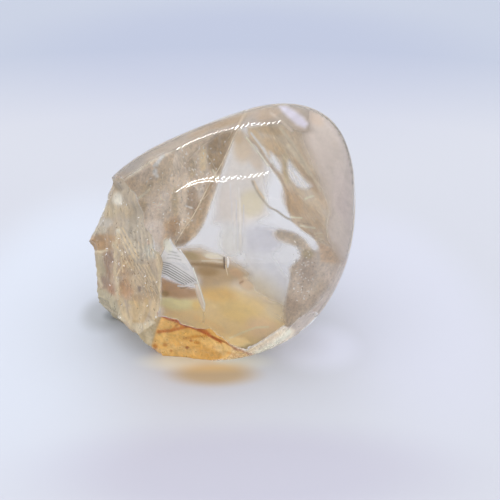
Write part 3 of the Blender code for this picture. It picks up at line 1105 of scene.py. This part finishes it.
calmLook = {"stretch": 2.0, "turn": 20.0, "scale": 3.0, "shades": (0.97, 1.03), "opacity": (0.9, 1.05),
            "grain": (0.98, 1.02)}
sheets = {
    "leftVeil": {
        "frame": (116, 124, 244, 268), "share": 0.5, "lean": (0.12, 0.2), "ripple": 0.05, "rippleSize": 30.0,
        "lift": (1.85, 1.85, 1.85, 0.05),
        "look": {"stretch": 2.4, "turn": 78.0, "scale": 15.0, "shades": (0.82, 1.18),
                 "opacity": (0.8, 1.12), "grain": (0.78, 1.22)},
        "layers": [
            ("area", ((118, 172), (150, 152), (180, 139), (212, 130), (238, 128), (232, 143), (226, 160),
                      (219, 180), (214, 196), (208, 213), (203, 226), (195, 237), (184, 245), (172, 248),
                      (168, 246), (166, 254), (163, 264), (154, 266), (144, 240), (130, 206), (118, 182)),
             2.0, (184, 171, 154), 0.95),
            ("area", ((207, 140), (214, 134), (226, 131), (235, 130), (228, 150), (224, 160), (219, 173),
                      (211, 171), (207, 160)), 3.0, (138, 119, 92), 0.9),
            ("area", ((216, 180), (211, 195), (205, 215), (198, 232), (184, 245), (174, 245), (186, 225),
                      (198, 200), (205, 183)), 3.0, (154, 135, 111), 0.85),
            ("oval", ((192, 168), (5, 12), 0), 0, (160, 146, 121), 0.8),
            ("oval", ((191, 201), (8, 17), 0), 0, (144, 127, 109), 0.9),
            ("oval", ((175, 203), (4, 18), 0), 0, (163, 151, 128), 0.85),
            ("oval", ((174, 226), (8, 13), 10), 0, (160, 136, 108), 0.85),
            ("oval", ((165, 232), (5, 12), 10), 0, (174, 150, 117), 0.8),
            ("oval", ((140, 207), (10, 8), -30), 0, (158, 146, 124), 0.85),
            ("oval", ((147, 187), (7, 16), 20), 0, (168, 154, 132), 0.8),
            ("oval", ((163, 178), (7, 14), 0), 0, (171, 158, 140), 0.8),
            ("oval", ((147, 174), (14, 10), -20), 0, (188, 178, 168), 0.7),
            ("oval", ((131, 188), (6, 13), 0), 0, (181, 166, 148), 0.7),
            ("oval", ((125, 190), (3, 12), 0), 0, (173, 158, 138), 0.7),
            ("oval", ((163, 203), (7, 18), 5), 0, (200, 191, 182), 0.95),
            ("oval", ((154, 209), (9, 8), -20), 0, (197, 188, 179), 0.9),
            ("oval", ((184, 207), (3, 24), 5), 0, (196, 184, 169), 0.85),
            ("oval", ((203, 158), (4.5, 17), 0), 0, (190, 174, 143), 0.85),
            ("oval", ((202, 190), (3, 12), 10), 0, (193, 186, 178), 0.8),
            ("oval", ((162, 152), (24, 7), -25), 0, (196, 187, 176), 0.9),
            ("oval", ((134, 170), (12, 5), -35), 0, (194, 188, 178), 0.8),
            ("oval", ((154, 232), (13, 18), 0), 0, (199, 192, 186), 0.95),
            ("oval", ((153, 250), (10, 10), 0), 0, (206, 208, 209), 0.9),
            ("line", ((154, 166), (157, 162.5), (163, 155)), 1.9, (246, 240, 232), 0.98),
            ("line", ((157, 166), (160, 161), (164, 156)), 1.5, (240, 234, 224), 0.95),
            ("oval", ((155, 172), (3, 4.5), 10), 0, (240, 233, 226), 0.98),
            ("oval", ((157, 176), (2.4, 2.6), 0), 0, (236, 228, 220), 0.95),
            ("line", ((213, 170), (215, 174), (217, 178)), 1.2, (216, 204, 184), 0.9),
            ("line", ((137, 199), (143, 195), (150, 189)), 1.2, (214, 203, 184), 0.8),
            ("line", ((186, 206), (192, 208)), 1.4, (220, 211, 198), 0.8),
            ("line", ((122, 174), (126, 171), (131, 167)), 1.3, (226, 222, 214), 0.8),
        ],
    },
    # painted reflection: the tan band under the top rim, where the top of the stone reflects its inside back
    # to the camera
    "topBand": {
        "frame": (108, 100, 320, 186), "share": 0.07, "ripple": 0.005, "rippleSize": 30.0,
        "lift": (1.00, 0.98, 1.02, 0.05),
        "look": {"stretch": 4.0, "turn": 22.0, "scale": 8.0, "shades": (0.92, 1.08), "opacity": (0.8, 1.05)},
        "layers": [
            ("area", ((112, 174), (145, 151), (180, 132), (215, 119), (246, 109), (280, 103), (300, 103),
                      (318, 109), (318, 132), (300, 132), (284, 124), (262, 124), (240, 128), (214, 135),
                      (190, 144), (165, 154), (140, 166), (122, 182)), 3.0, (194, 182, 165), 0.88),
            ("oval", ((228, 120), (26, 7), -18), 0, (196, 173, 141), 0.95),
            ("oval", ((266, 114), (18, 8), -8), 0, (198, 178, 153), 0.9),
            ("oval", ((200, 131), (16, 5), -25), 0, (194, 173, 146), 0.8),
            ("oval", ((135, 165), (16, 6), -35), 0, (182, 176, 166), 0.8),
            ("line", ((247, 110), (240, 122), (236, 130)), 1.6, (222, 206, 178), 0.8),
            ("line", ((271, 113), (281, 121), (292, 131)), 2.4, (214, 203, 186), 0.7),
            ("oval", ((326, 120), (22, 26), 0), 0, None, 0.95),
            # painted light: the pale patch at the crown
            ("area", ((279, 106), (286, 106), (295, 111), (303, 117), (308, 124), (305, 128), (297, 125),
                      (289, 118), (282, 111)), 2.8, (236, 235, 248), 0.95),
        ],
    },
    "rightVeil": {
        "frame": (244, 100, 346, 262), "share": 0.55, "lean": (-0.1, 0.15), "ripple": 0.04,
        "rippleSize": 30.0,
        "lift": (1.8, 1.85, 1.8, 0.05),
        "look": {"stretch": 6.0, "turn": -58.0, "scale": 15.0, "shades": (0.84, 1.17),
                 "opacity": (0.85, 1.1), "grain": (0.9, 1.1)},
        "layers": [
            ("area", ((247, 127), (266, 124), (284, 122), (290, 128), (303, 131), (316, 140), (332, 180),
                      (342, 215), (346, 262), (334, 252), (320, 244), (312, 237), (302, 230), (292, 221),
                      (289, 210), (287, 198), (281, 182), (274, 171), (266, 160), (258, 147), (250, 138)),
             2.5, (188, 174, 157), 0.94),
            ("oval", ((274, 147), (16, 8), 40), 0, (178, 157, 130), 0.85),
            ("oval", ((270, 131), (16, 5), 10), 0, (182, 163, 137), 0.85),
            ("oval", ((254, 134), (8, 5), 40), 0, (190, 172, 146), 0.8),
            ("oval", ((294, 203), (11, 20), -30), 0, (172, 150, 126), 0.9),
            ("oval", ((312, 217), (12, 18), -30), 0, (176, 159, 141), 0.85),
            ("oval", ((314, 158), (9, 26), -25), 0, (194, 181, 166), 0.9),
            ("oval", ((326, 200), (8, 26), -15), 0, (194, 183, 173), 0.9),
            ("line", ((296, 162), (306, 176), (318, 192), (326, 206)), 6.0, (178, 159, 138), 0.7),
            ("line", ((288, 146), (298, 158), (310, 174)), 3.5, (203, 192, 177), 0.8),
            ("line", ((280, 128), (292, 143), (306, 164), (320, 190)), 2.2, (205, 193, 178), 0.6),
            ("line", ((285, 157), (286, 170), (287, 181)), 4.5, (178, 165, 140), 0.9),
            ("line", ((250, 138), (258, 146), (263, 154), (269, 162), (275, 171), (281, 179), (286, 190),
                      (288, 198), (289, 210), (294, 221), (303, 229), (312, 234), (318, 241)), 2.4,
             (158, 140, 120), 0.6),
            ("line", ((251, 133), (258, 142), (266, 153)), 1.8, (232, 224, 210), 0.9),
            ("line", ((246, 137), (254, 147), (262, 157), (268, 166)), 1.6, (214, 202, 186), 0.7),
            ("line", ((263, 148), (266, 154), (271, 162)), 2.4, (222, 216, 206), 0.85),
            ("line", ((305, 199), (309, 197), (313, 196)), 1.4, (215, 202, 184), 0.9),
            ("line", ((291, 217), (296, 217.5), (302, 218)), 1.3, (212, 202, 186), 0.9),
            ("line", ((300, 225.5), (307, 227), (315, 228)), 1.3, (212, 202, 188), 0.9),
            ("line", ((298, 222), (304, 223.5), (311, 224.5)), 1.1, (146, 129, 112), 0.7),
            *fanLines(4, ((315, 234), (318, 233), (322, 233)), ((317, 244), (320, 243), (324, 242)),
                      (206, 195, 182), 0.7, 1.2),
            ("line", ((319, 170), (322, 174)), 1.6, (236, 228, 216), 0.95),
            ("area", ((282, 108), (288, 109), (297, 114), (307, 123), (304, 128), (297, 125), (290, 118)),
             2.4, None, 0.9),
            ("area", ((289, 160), (294, 167), (302, 177), (311, 186), (306, 189), (297, 186), (290, 178),
                      (287.5, 169)), 3.0, None, 0.88),
            ("area", ((270, 152), (275, 156), (281, 165), (281, 172), (276, 169), (271, 161)), 3.0, None,
             0.85),
            ("line", ((291, 165), (293, 175), (297, 183)), 2.0, (205, 206, 200), 0.5),
        ],
    },
    "rightBorder": {
        "frame": (272, 96, 360, 276), "share": 0.10, "ripple": 0.01, "rippleSize": 30.0,
        "lift": (1.42, 1.42, 1.42, 0.05),
        "look": {"stretch": 3.0, "turn": -60.0, "scale": 6.0, "shades": (0.95, 1.06),
                 "opacity": (0.88, 1.06)},
        "layers": [
            ("area", ((310, 98), (325, 106), (340, 122), (352, 150), (359, 180), (359, 215), (356, 240),
                      (350, 262), (340, 258), (330, 240), (333, 222), (328, 200), (320, 178), (311, 155),
                      (304, 138), (304, 128), (302, 112)), 9.0, (198, 188, 181), 0.95),
            ("oval", ((316, 118), (12, 8), 40), 0, (198, 182, 168), 0.9),
            ("oval", ((342, 200), (10, 40), -5), 0, (198, 187, 182), 0.8),
            ("oval", ((336, 228), (11, 17), -5), 0, (204, 194, 186), 0.85),
        ],
    },
    "lowerVeil": {
        "frame": (262, 218, 356, 340), "exactly": True, "share": 0.4, "lean": (-0.1, 0.1), "ripple": 0.05,
        "rippleSize": 24.0,
        "look": {"stretch": 1.6, "turn": 60.0, "scale": 24.0, "shades": (0.8, 1.22),
                 "opacity": (0.75, 1.15), "grain": (0.88, 1.12)},
        "layers": [
            ("area", ((289, 268), (299, 260), (303, 250), (304, 240), (314, 248), (318, 240), (332, 246),
                      (348, 256), (356, 264), (348, 292), (334, 314), (318, 328), (300, 334), (288, 330),
                      (283, 310), (287, 292), (291, 280)), 3.0, (180, 168, 157), 0.9),
            ("oval", ((290, 238), (20, 8), 15), 0, (170, 158, 145), 0.8),
            ("line", ((280, 234), (291, 237), (300, 244), (307, 255)), 7.5, (160, 148, 134), 0.85),
            ("oval", ((307, 270), (10, 26), 8), 0, (166, 154, 145), 0.85),
            ("oval", ((308, 254), (7, 6), 0), 0, (160, 149, 124), 0.75),
            ("line", ((297, 262), (292, 276), (290, 290), (289, 302)), 4.0, (160, 148, 136), 0.6),
            ("area", ((319, 243), (330, 247), (347, 259), (336, 264), (321, 262)), 2.0, (179, 159, 139), 0.9),
            ("oval", ((338, 280), (15, 20), -40), 0, (196, 184, 176), 0.95),
            ("oval", ((328, 302), (17, 12), -45), 0, (199, 188, 181), 0.95),
            ("oval", ((295, 300), (9, 13), 20), 0, (172, 158, 146), 0.8),
            ("oval", ((302, 318), (16, 8), -30), 0, (198, 186, 174), 0.8),
            ("line", ((288, 224), (299, 229), (308, 237), (315, 247)), 5.5, None, 0.85),
        ],
    },
    "lowerMist": {
        "frame": (282, 240, 356, 352), "share": 0.14, "ripple": 0.0, "rippleSize": 24.0, "look": calmLook,
        "layers": [
            ("area", ((346, 258), (350, 250), (349, 268), (338, 292), (322, 312), (304, 330), (290, 340),
                      (286, 330), (298, 322), (318, 304), (332, 286)), 5.0, (204, 193, 188), 0.85),
        ],
    },
    "mist": {
        "frame": (180, 126, 300, 326), "share": 0.72, "ripple": 0.04, "rippleSize": 40.0, "look": calmLook,
        "lift": (1.42, 1.48, 1.58, 0.05),
        "layers": [
            ("area", ((230, 126), (250, 128), (264, 150), (270, 172), (262, 196), (268, 214), (246, 226),
                      (214, 222), (216, 190), (226, 160)), 9.0, (214, 207, 198), 0.75),
            ("oval", ((243, 148), (12, 18), 0), 0, (208, 189, 163), 0.8),
            ("oval", ((238, 136), (7, 9), 0), 0, (199, 178, 148), 0.8),
            ("oval", ((256, 160), (8, 14), -30), 0, (206, 190, 170), 0.7),
            ("oval", ((252, 203), (16, 17), 0), 0, (212, 204, 179), 0.8),
            ("oval", ((228, 200), (9, 20), 0), 0, (211, 204, 199), 0.6),
            ("oval", ((262, 240), (26, 18), 0), 0, (194, 195, 205), 0.75),
            ("oval", ((232, 240), (16, 20), 0), 0, (214, 215, 222), 0.6),
            ("oval", ((262, 262), (22, 12), 20), 0, (204, 206, 213), 0.6),
            ("oval", ((274, 282), (20, 16), 30), 0, (198, 198, 202), 0.75),
            ("area", ((236, 266), (254, 272), (274, 284), (290, 300), (292, 322), (262, 306), (246, 292)),
             12.0, (200, 192, 174), 0.85),
            ("line", ((267, 172), (264, 181), (268, 196)), 1.2, (205, 205, 212), 0.6),
            ("line", ((252, 181), (256, 190), (262, 199), (269, 207), (277, 211), (285, 217), (293, 221)),
             1.7, (154, 144, 125), 0.75),
            ("line", ((254, 181), (258, 190), (264, 198)), 1.6, (206, 184, 150), 0.7),
            ("line", ((239, 188), (240, 215), (241, 252)), 1.2, (236, 237, 240), 0.8),
            ("line", ((236, 200), (237, 225), (238, 250)), 1.0, (190, 190, 196), 0.7),
            ("line", ((243.5, 205), (243, 230), (241, 254)), 1.0, (190, 190, 196), 0.7),
            ("line", ((230, 184), (232, 215), (235, 250)), 0.9, (200, 200, 204), 0.5),
            ("line", ((252, 258), (262, 259)), 1.2, (196, 196, 204), 0.5),
        ],
    },
    "amberPool": {
        "frame": (152, 244, 300, 362), "share": 0.62, "ripple": 0.02, "rippleSize": 40.0,
        "lift": (1.84, 1.80, 1.76, 0.05),
        "look": {"stretch": 2.0, "turn": -14.0, "scale": 5.0, "shades": (0.94, 1.06),
                 "opacity": (0.92, 1.05), "grain": (0.97, 1.03)},
        "layers": [
            ("area", ((160, 290), (176, 296), (198, 292), (206, 280), (226, 279), (246, 289), (266, 300),
                      (290, 316), (294, 336), (266, 356), (250, 358), (229, 352), (204, 340), (187, 330),
                      (170, 324), (158, 324)), 10.0, (207, 184, 146), 1.0),
            ("oval", ((217, 294), (24, 10), 15), 0, (204, 175, 122), 0.8),
            ("oval", ((238, 312), (26, 13), 20), 0, (208, 182, 132), 0.8),
            ("oval", ((176, 303), (22, 9), 5), 0, (216, 200, 164), 0.9),
            ("oval", ((265, 330), (24, 14), 20), 0, (203, 181, 152), 0.9),
            ("oval", ((276, 312), (14, 10), 30), 0, (203, 190, 165), 0.8),
            ("oval", ((196, 306), (5, 6), 0), 0, (212, 182, 124), 0.6),
            ("line", ((196, 318), (206, 322), (222, 330)), 5.0, (206, 178, 136), 0.6),
            ("area", ((176, 249), (200, 248), (214, 255), (226, 258), (240, 266), (249, 274), (242, 282),
                      (222, 286), (204, 288), (195, 276), (186, 262)), 7.0, (170, 154, 127), 0.95),
            ("oval", ((191, 256), (11, 5), 20), 0, (152, 139, 108), 0.9),
            ("oval", ((213, 256), (12, 3.5), 8), 0, (206, 200, 190), 0.85),
            ("oval", ((208, 271), (14, 6), 5), 0, (152, 133, 103), 0.85),
            ("oval", ((236, 273), (9, 5), 25), 0, (174, 153, 128), 0.8),
            ("oval", ((246, 284), (10, 6), 35), 0, (194, 175, 150), 0.7),
            ("line", ((192, 263.5), (206, 264.5), (224, 267)), 3.2, (140, 121, 91), 0.95),
            ("line", ((202, 260.6), (214, 261), (222, 262)), 1.2, (212, 206, 196), 0.6),
            ("line", ((206, 257.6), (214, 258.2), (221, 258.6)), 0.9, (222, 219, 212), 0.6),
            ("area", ((160, 276), (172, 281), (186, 286), (197, 290), (198, 297), (180, 299), (166, 296),
                      (160, 290)), 3.0, (166, 140, 110), 0.95),
            ("oval", ((165, 294), (5, 4), 0), 0, (146, 126, 88), 0.8),
            ("line", ((240, 283), (243, 281)), 1.6, (140, 115, 92), 0.9),
            ("line", ((230, 338), (244, 332), (256, 327.5), (268, 327)), 1.5, (222, 196, 174), 0.8),
        ],
    },
    "fanCrack": {
        "frame": (152, 234, 204, 292), "step": 0.45, "share": 0.1, "lean": (0.2, 0.15), "ripple": 0.0,
        "rippleSize": 30.0, "lift": (1.95, 1.95, 1.85, 0.05),
        "look": {"stretch": 4.0, "turn": -32.0, "scale": 18.0, "shades": (0.93, 1.08),
                 "opacity": (0.92, 1.1)},
        "layers": [
            ("area", ((170, 238), (174, 245), (178, 250), (182.4, 253.5), (186, 259), (190, 266),
                      (194, 274), (197.5, 283), (195, 287), (189, 285), (183, 284.5), (176, 281.5),
                      (168, 276.5), (158, 274), (156, 262), (162, 254), (166, 246)), 1.0, (222, 221, 218),
             0.97),
            ("oval", ((168, 246), (5, 9), -15), 0, (202, 195, 187), 0.8),
            ("oval", ((182, 267), (11, 8), 40), 0, (240, 240, 244), 0.95),
            ("oval", ((175, 262), (6, 5), 40), 0, (222, 222, 224), 0.8),
            ("line", ((180, 250), (185, 257), (190, 265), (195, 275), (198, 284)), 1.2, (240, 236, 226), 0.9),
            *fanLines(6, ((157, 261), (170, 264), (178, 268.5), (188, 275), (196, 281)),
                      ((157, 271), (166, 274), (172, 277.5), (178, 281), (184, 284)), (112, 112, 110), 0.85,
                      0.95),
            *fanLines(5, ((157, 262), (171, 265), (179, 269.6), (189, 276.2), (196, 282)),
                      ((157, 270), (166, 273), (172, 276.4), (179, 280), (185, 283)), (246, 246, 246), 0.7,
                      0.8),
            *fanLines(3, ((169, 251), (173, 252), (177, 253)), ((167, 258), (173, 258), (181, 260)),
                      (150, 152, 152), 0.7, 0.9),
            *fanLines(3, ((172, 262), (180, 265), (186, 270)), ((180, 262), (185, 265), (189, 270)),
                      (176, 178, 184), 0.6, 0.8),
            ("line", ((178, 286), (184, 286.5), (190, 285)), 1.3, (226, 216, 202), 0.9),
            ("line", ((180, 288), (186, 287.5)), 1.0, (150, 132, 112), 0.8),
        ],
    },
    "ridgeWedge": {
        "frame": (188, 266, 210, 326), "step": 0.6, "share": 0.08, "ripple": 0.0, "rippleSize": 30.0,
        "look": {"stretch": 4.0, "turn": -72.0, "scale": 10.0, "shades": (0.95, 1.06),
                 "opacity": (0.9, 1.05)},
        "layers": [
            ("area", ((194.5, 284), (198, 284), (201, 293), (204, 301), (204.5, 309), (202, 308),
                      (199, 301), (196.5, 293)), 1.2, (206, 195, 184), 0.85),
            ("line", ((193, 268), (197, 280), (200, 289), (202.5, 297), (204.5, 304), (204, 311)), 1.2,
             (232, 222, 206), 0.9),
            ("line", ((204, 311), (203.5, 322)), 2.0, (208, 188, 150), 0.4),
        ],
    },
}
for sheetName, sheet in sheets.items():
    makeSheet(sheetName, sheet)
print("sheets in the stone:", len(sheets))

# Rutile: needles, hairs and specks, and a needle of painted shadow.
rutile = {
    # a needle: its line, how deep it lies as a share of the way through, its thickness in mm and
    # its colour
    "needles": {
        "longNeedle": (((249, 111), (237, 131), (222, 163), (215, 175), (208, 187), (200, 203), (193, 216),
                        (184, 229), (174, 246)), 0.12, 0.17, "cream"),
        "crossNeedle": (((243, 109), (236, 124), (228, 139)), 0.14, 0.10, "cream"),
        "sideNeedle": (((137, 200), (143, 195), (151, 188)), 0.12, 0.10, "cream"),
        "shortNeedle": (((212, 169), (215, 174), (218, 179)), 0.2, 0.10, "cream"),
        "farNeedle": (((204, 150), (214, 166), (217, 178)), 0.3, 0.06, "cream"),
        # sparkShadow is painted shadow: a dark needle laid beside the spark
        "sparkShadow": (((224, 256.5), (224.3, 263), (224.4, 269)), 0.55, 0.45, "bark"),
        "spark": (((227.3, 257), (228, 262), (227.6, 268)), 0.53, 0.60, "white"),
        "sparkTail": (((225.5, 265), (226.5, 270), (228, 276)), 0.52, 0.16, "cream"),
    },
    "needlePoints": 36,
    "needleSides": 6,
    "needleTip": 0.1,  # share of the thickness that is left at the ends
    "needleTaper": 0.35,  # lower is blunter
    "colours": {"cream": (0.88, 0.77, 0.57), "white": (0.95, 0.95, 0.95), "bark": (0.20, 0.14, 0.08),
                "gold": (0.76, 0.55, 0.30)},
    "toneScale": 800.0,
    "tones": (0.78, 1.12),
    "roughness": (0.25, 0.45),
    # a tuft: what it lies on (the raw faces, or a depth as for a needle), its outline in pixels,
    # hairs to a square cm, their length and thickness in mm, turn and its spread in degrees,
    # colour and seed
    "tufts": {
        "rawGoldHairs": ("raw", ((116, 238), (150, 240), (158, 262), (158, 318), (122, 318), (115, 280)),
                         44, (0.8, 4.2), 0.10, (-56, 16), "gold", 3),
        "rawPaleHairs": ("raw", ((116, 226), (152, 226), (158, 262), (158, 300), (140, 300), (115, 272)),
                         24, (0.8, 3.8), 0.10, (-56, 16), "cream", 5),
        "rawUprightHairs": ("raw", ((124, 205), (150, 215), (157, 262), (126, 262)),
                            16, (0.8, 3.0), 0.08, (88, 10), "cream", 7),
        "rawCrumbs": ("raw", ((100, 185), (158, 225), (158, 330), (118, 318), (96, 250)),
                      7, (0.25, 0.6), 0.26, (0, 180), "white", 11),
        "rawDarkCrumbs": ("raw", ((112, 205), (158, 225), (158, 310), (118, 310)),
                          14, (0.25, 0.7), 0.20, (0, 180), "bark", 13),
        "veilHairs": (0.42, ((130, 165), (205, 140), (210, 200), (180, 240), (150, 220)),
                      26, (0.6, 2.6), 0.10, (70, 60), "cream", 17),
        "veilCrumbs": (0.40, ((140, 160), (232, 130), (215, 200), (185, 240), (150, 215)),
                       34, (0.2, 0.6), 0.22, (0, 180), "white", 19),
        "veilDarkCrumbs": (0.43, ((140, 170), (232, 132), (215, 190), (185, 240), (150, 215)),
                           9, (0.2, 0.6), 0.18, (0, 180), "bark", 23),
        "rightHairs": (0.45, ((262, 125), (292, 132), (330, 190), (335, 235), (300, 222), (287, 180)),
                       22, (0.8, 4.0), 0.09, (-58, 10), "cream", 29),
        "rightSparks": (0.33, ((292, 238), (312, 246), (320, 262), (312, 300), (290, 305), (290, 262)),
                        70, (0.2, 0.55), 0.2, (0, 180), "white", 31),
        "rightDarkSparks": (0.34, ((286, 232), (312, 246), (318, 262), (310, 300), (290, 310), (292, 262)),
                            30, (0.2, 0.5), 0.18, (0, 180), "bark", 37),
    },
    "tuftStep": 3.0,  # pixels between the points of the sheet that a tuft in the stone lies on
    "rawFrom": 0.5,  # how chalky a face is at least that hairs lie on
}


def makeNeedleMaterial(name, colour):
    material, tree, surface = newMaterial(name + "Rutile")
    tone = noiseAt(tree, placeOf(tree), rutile["toneScale"], detail=3.0)
    shade = between(tree, tone, 0.35, 0.65, *rutile["tones"])
    tree.links.new(scaled(tree, colour, shade), surface.inputs["Base Color"])
    tree.links.new(between(tree, tone, 0.35, 0.65, *rutile["roughness"]), surface.inputs["Roughness"])
    return material


rutilePaints = {name: makeNeedleMaterial(name, colour) for name, colour in rutile["colours"].items()}


def makeNeedle(name, points, share, thickness, paint):
    # a thin tube, tapered to both ends, along the part of the line that is seen in the stone
    places, seen = insideAt(alongLine(points, rutile["needlePoints"]), share)
    places = places[seen]
    runs = unitRows(np.gradient(places, axis=0))
    side = unitRows(np.cross(runs, eyeBack))
    up = np.cross(side, runs)
    bulge = np.sin(np.linspace(0.0, math.pi, len(places))) ** rutile["needleTaper"]
    radius = (thickness * mm / 2 * (bulge * (1.0 - rutile["needleTip"]) + rutile["needleTip"]))[:, None]
    sides = rutile["needleSides"]
    turns = np.linspace(0.0, 2 * math.pi, sides, endpoint=False)
    rings = [places + (side * math.cos(turn) + up * math.sin(turn)) * radius for turn in turns]
    points = np.stack(rings, axis=1).reshape(-1, 3)
    faces = [tuple(range(sides - 1, -1, -1)), tuple(range(len(points) - sides, len(points)))]
    for start in range(0, len(points) - sides, sides):
        for i in range(sides):
            j = (i + 1) % sides
            faces.append((start + i, start + j, start + sides + j, start + sides + i))
    mesh = bpy.data.meshes.new(name)
    mesh.from_pydata(points.tolist(), [], faces)
    bm = bmesh.new()
    bm.from_mesh(mesh)
    bmesh.ops.recalc_face_normals(bm, faces=bm.faces)
    bm.to_mesh(mesh)
    bm.free()
    mesh.materials.append(rutilePaints[paint])
    return keepPiece(name, mesh)


def randomly(tree, low, high, seed):
    node = addNode(tree, "FunctionNodeRandomValue", data_type="FLOAT")
    sockets = byIdentifier(node.inputs)
    feed(tree, sockets["Min_001"], low)
    feed(tree, sockets["Max_001"], high)
    feed(tree, sockets["Seed"], seed)
    return byIdentifier(node.outputs)["Value_001"]


def makeTuftTree():
    # hairs lying on a surface, drawn along a turn seen from the camera
    tree = bpy.data.node_groups.new("rutileTuft", "GeometryNodeTree")
    kinds = {"Geometry": "Geometry", "Hairs per square metre": "Float", "Shortest": "Float",
             "Longest": "Float", "Thickness": "Float", "Turn": "Float", "Turn spread": "Float",
             "Seed": "Int", "Material": "Material"}
    sockets = {}
    for name, kind in kinds.items():
        sockets[name] = tree.interface.new_socket(name=name, in_out="INPUT", socket_type="NodeSocket" + kind)
    tree.interface.new_socket(name="Geometry", in_out="OUTPUT", socket_type="NodeSocketGeometry")
    given = tree.nodes.new("NodeGroupInput").outputs

    spread = {"Mesh": given["Geometry"], "Density": given["Hairs per square metre"], "Seed": given["Seed"]}
    scatter = addNode(tree, "GeometryNodeDistributePointsOnFaces", spread, distribute_method="RANDOM")
    away = maths(tree, "MULTIPLY", given["Turn spread"], randomly(tree, -1.0, 1.0, 1))
    angle = maths(tree, "RADIANS", maths(tree, "ADD", given["Turn"], away))
    along = scaled(tree, tuple(eyeRight), maths(tree, "COSINE", angle))
    upwards = scaled(tree, tuple(eyeUp), maths(tree, "SINE", angle))
    way = vectorMaths(tree, "ADD", {0: along, 1: upwards})
    turned = addNode(tree, "FunctionNodeAlignRotationToVector", {"Vector": way}, axis="X")

    length = randomly(tree, given["Shortest"], given["Longest"], 2)
    values = {"X": length, "Y": given["Thickness"], "Z": given["Thickness"]}
    size = addNode(tree, "ShaderNodeCombineXYZ", values)
    values = {"Vertices": 5, "Radius Top": 0.15, "Radius Bottom": 0.5, "Depth": 1.0}
    hair = addNode(tree, "GeometryNodeMeshCone", values)
    values = {"Geometry": hair.outputs["Mesh"], "Rotation": (0, math.pi / 2, 0)}
    lain = addNode(tree, "GeometryNodeTransform", values)
    values = {"Points": scatter.outputs["Points"], "Instance": lain.outputs["Geometry"],
              "Rotation": turned.outputs["Rotation"], "Scale": size.outputs["Vector"]}
    placed = addNode(tree, "GeometryNodeInstanceOnPoints", values)
    real = addNode(tree, "GeometryNodeRealizeInstances", {"Geometry": placed.outputs["Instances"]})
    values = {"Geometry": real.outputs["Geometry"], "Material": given["Material"]}
    dressed = addNode(tree, "GeometryNodeSetMaterial", values)
    addNode(tree, "NodeGroupOutput", {"Geometry": dressed.outputs["Geometry"]})
    return tree, {name: socket.identifier for name, socket in sockets.items()}


def rawSurface(outline):
    # the raw faces of the stone that the camera sees inside an outline
    mesh = quartzStone.data
    places = np.empty(len(mesh.vertices) * 3, np.float32)
    mesh.vertices.foreach_get("co", places)
    places = places.reshape(-1, 3).astype(float)
    chalky = np.empty(len(mesh.vertices), np.float32)
    mesh.attributes["chalk"].data.foreach_get("value", chalky)
    faces = np.array([face.vertices[:] for face in mesh.polygons if len(face.vertices) == 3])
    a, b, c = (places[faces[:, i]] for i in range(3))
    facing = np.cross(b - a, c - a) @ eyeBack > 0
    within = insideOutline(pixelsOf((a + b + c) / 3 / mm - toMiddle), outline) > 0
    return places, faces[facing & within & (chalky[faces].min(axis=1) > rutile["rawFrom"])]


def sheetSurface(outline, share):
    # a sheet in the stone that the camera sees inside an outline
    corners = np.array(outline)
    pixels, rows, columns = pixelGrid(*corners.min(axis=0), *corners.max(axis=0), rutile["tuftStep"])
    places, seen = insideAt(pixels, share)
    faces = gridFaces(rows, columns)
    within = seen & (insideOutline(pixels, outline) > 0)
    return places, faces[within[faces].all(axis=1)]


def makeTuft(name, surface, outline, perSquareCm, lengths, thickness, turns, paint, seed):
    places, faces = rawSurface(outline) if surface == "raw" else sheetSurface(outline, surface)
    ground = bpy.data.meshes.new(name + "Ground")
    ground.from_pydata(places.tolist(), [], faces.tolist())
    holder = bpy.data.objects.new(name + "Ground", ground)
    bpy.context.collection.objects.link(holder)
    modifier = holder.modifiers.new("tuft", "NODES")
    modifier.node_group = tuftTree
    values = {"Hairs per square metre": perSquareCm * 1e4, "Shortest": lengths[0] * mm,
              "Longest": lengths[1] * mm, "Thickness": thickness * mm, "Turn": float(turns[0]),
              "Turn spread": float(turns[1]), "Seed": seed, "Material": rutilePaints[paint]}
    for key, value in values.items():
        modifier[tuftInputs[key]] = value
    grown = bpy.data.meshes.new_from_object(holder.evaluated_get(bpy.context.evaluated_depsgraph_get()))
    grown.name = name
    bpy.data.objects.remove(holder)
    return keepPiece(name, grown)


for needleName, needle in rutile["needles"].items():
    makeNeedle(needleName, *needle)
tuftTree, tuftInputs = makeTuftTree()
for tuftName, tuft in rutile["tufts"].items():
    print(tuftName + ":", len(makeTuft(tuftName, *tuft).data.polygons), "faces")
print("rutile made")
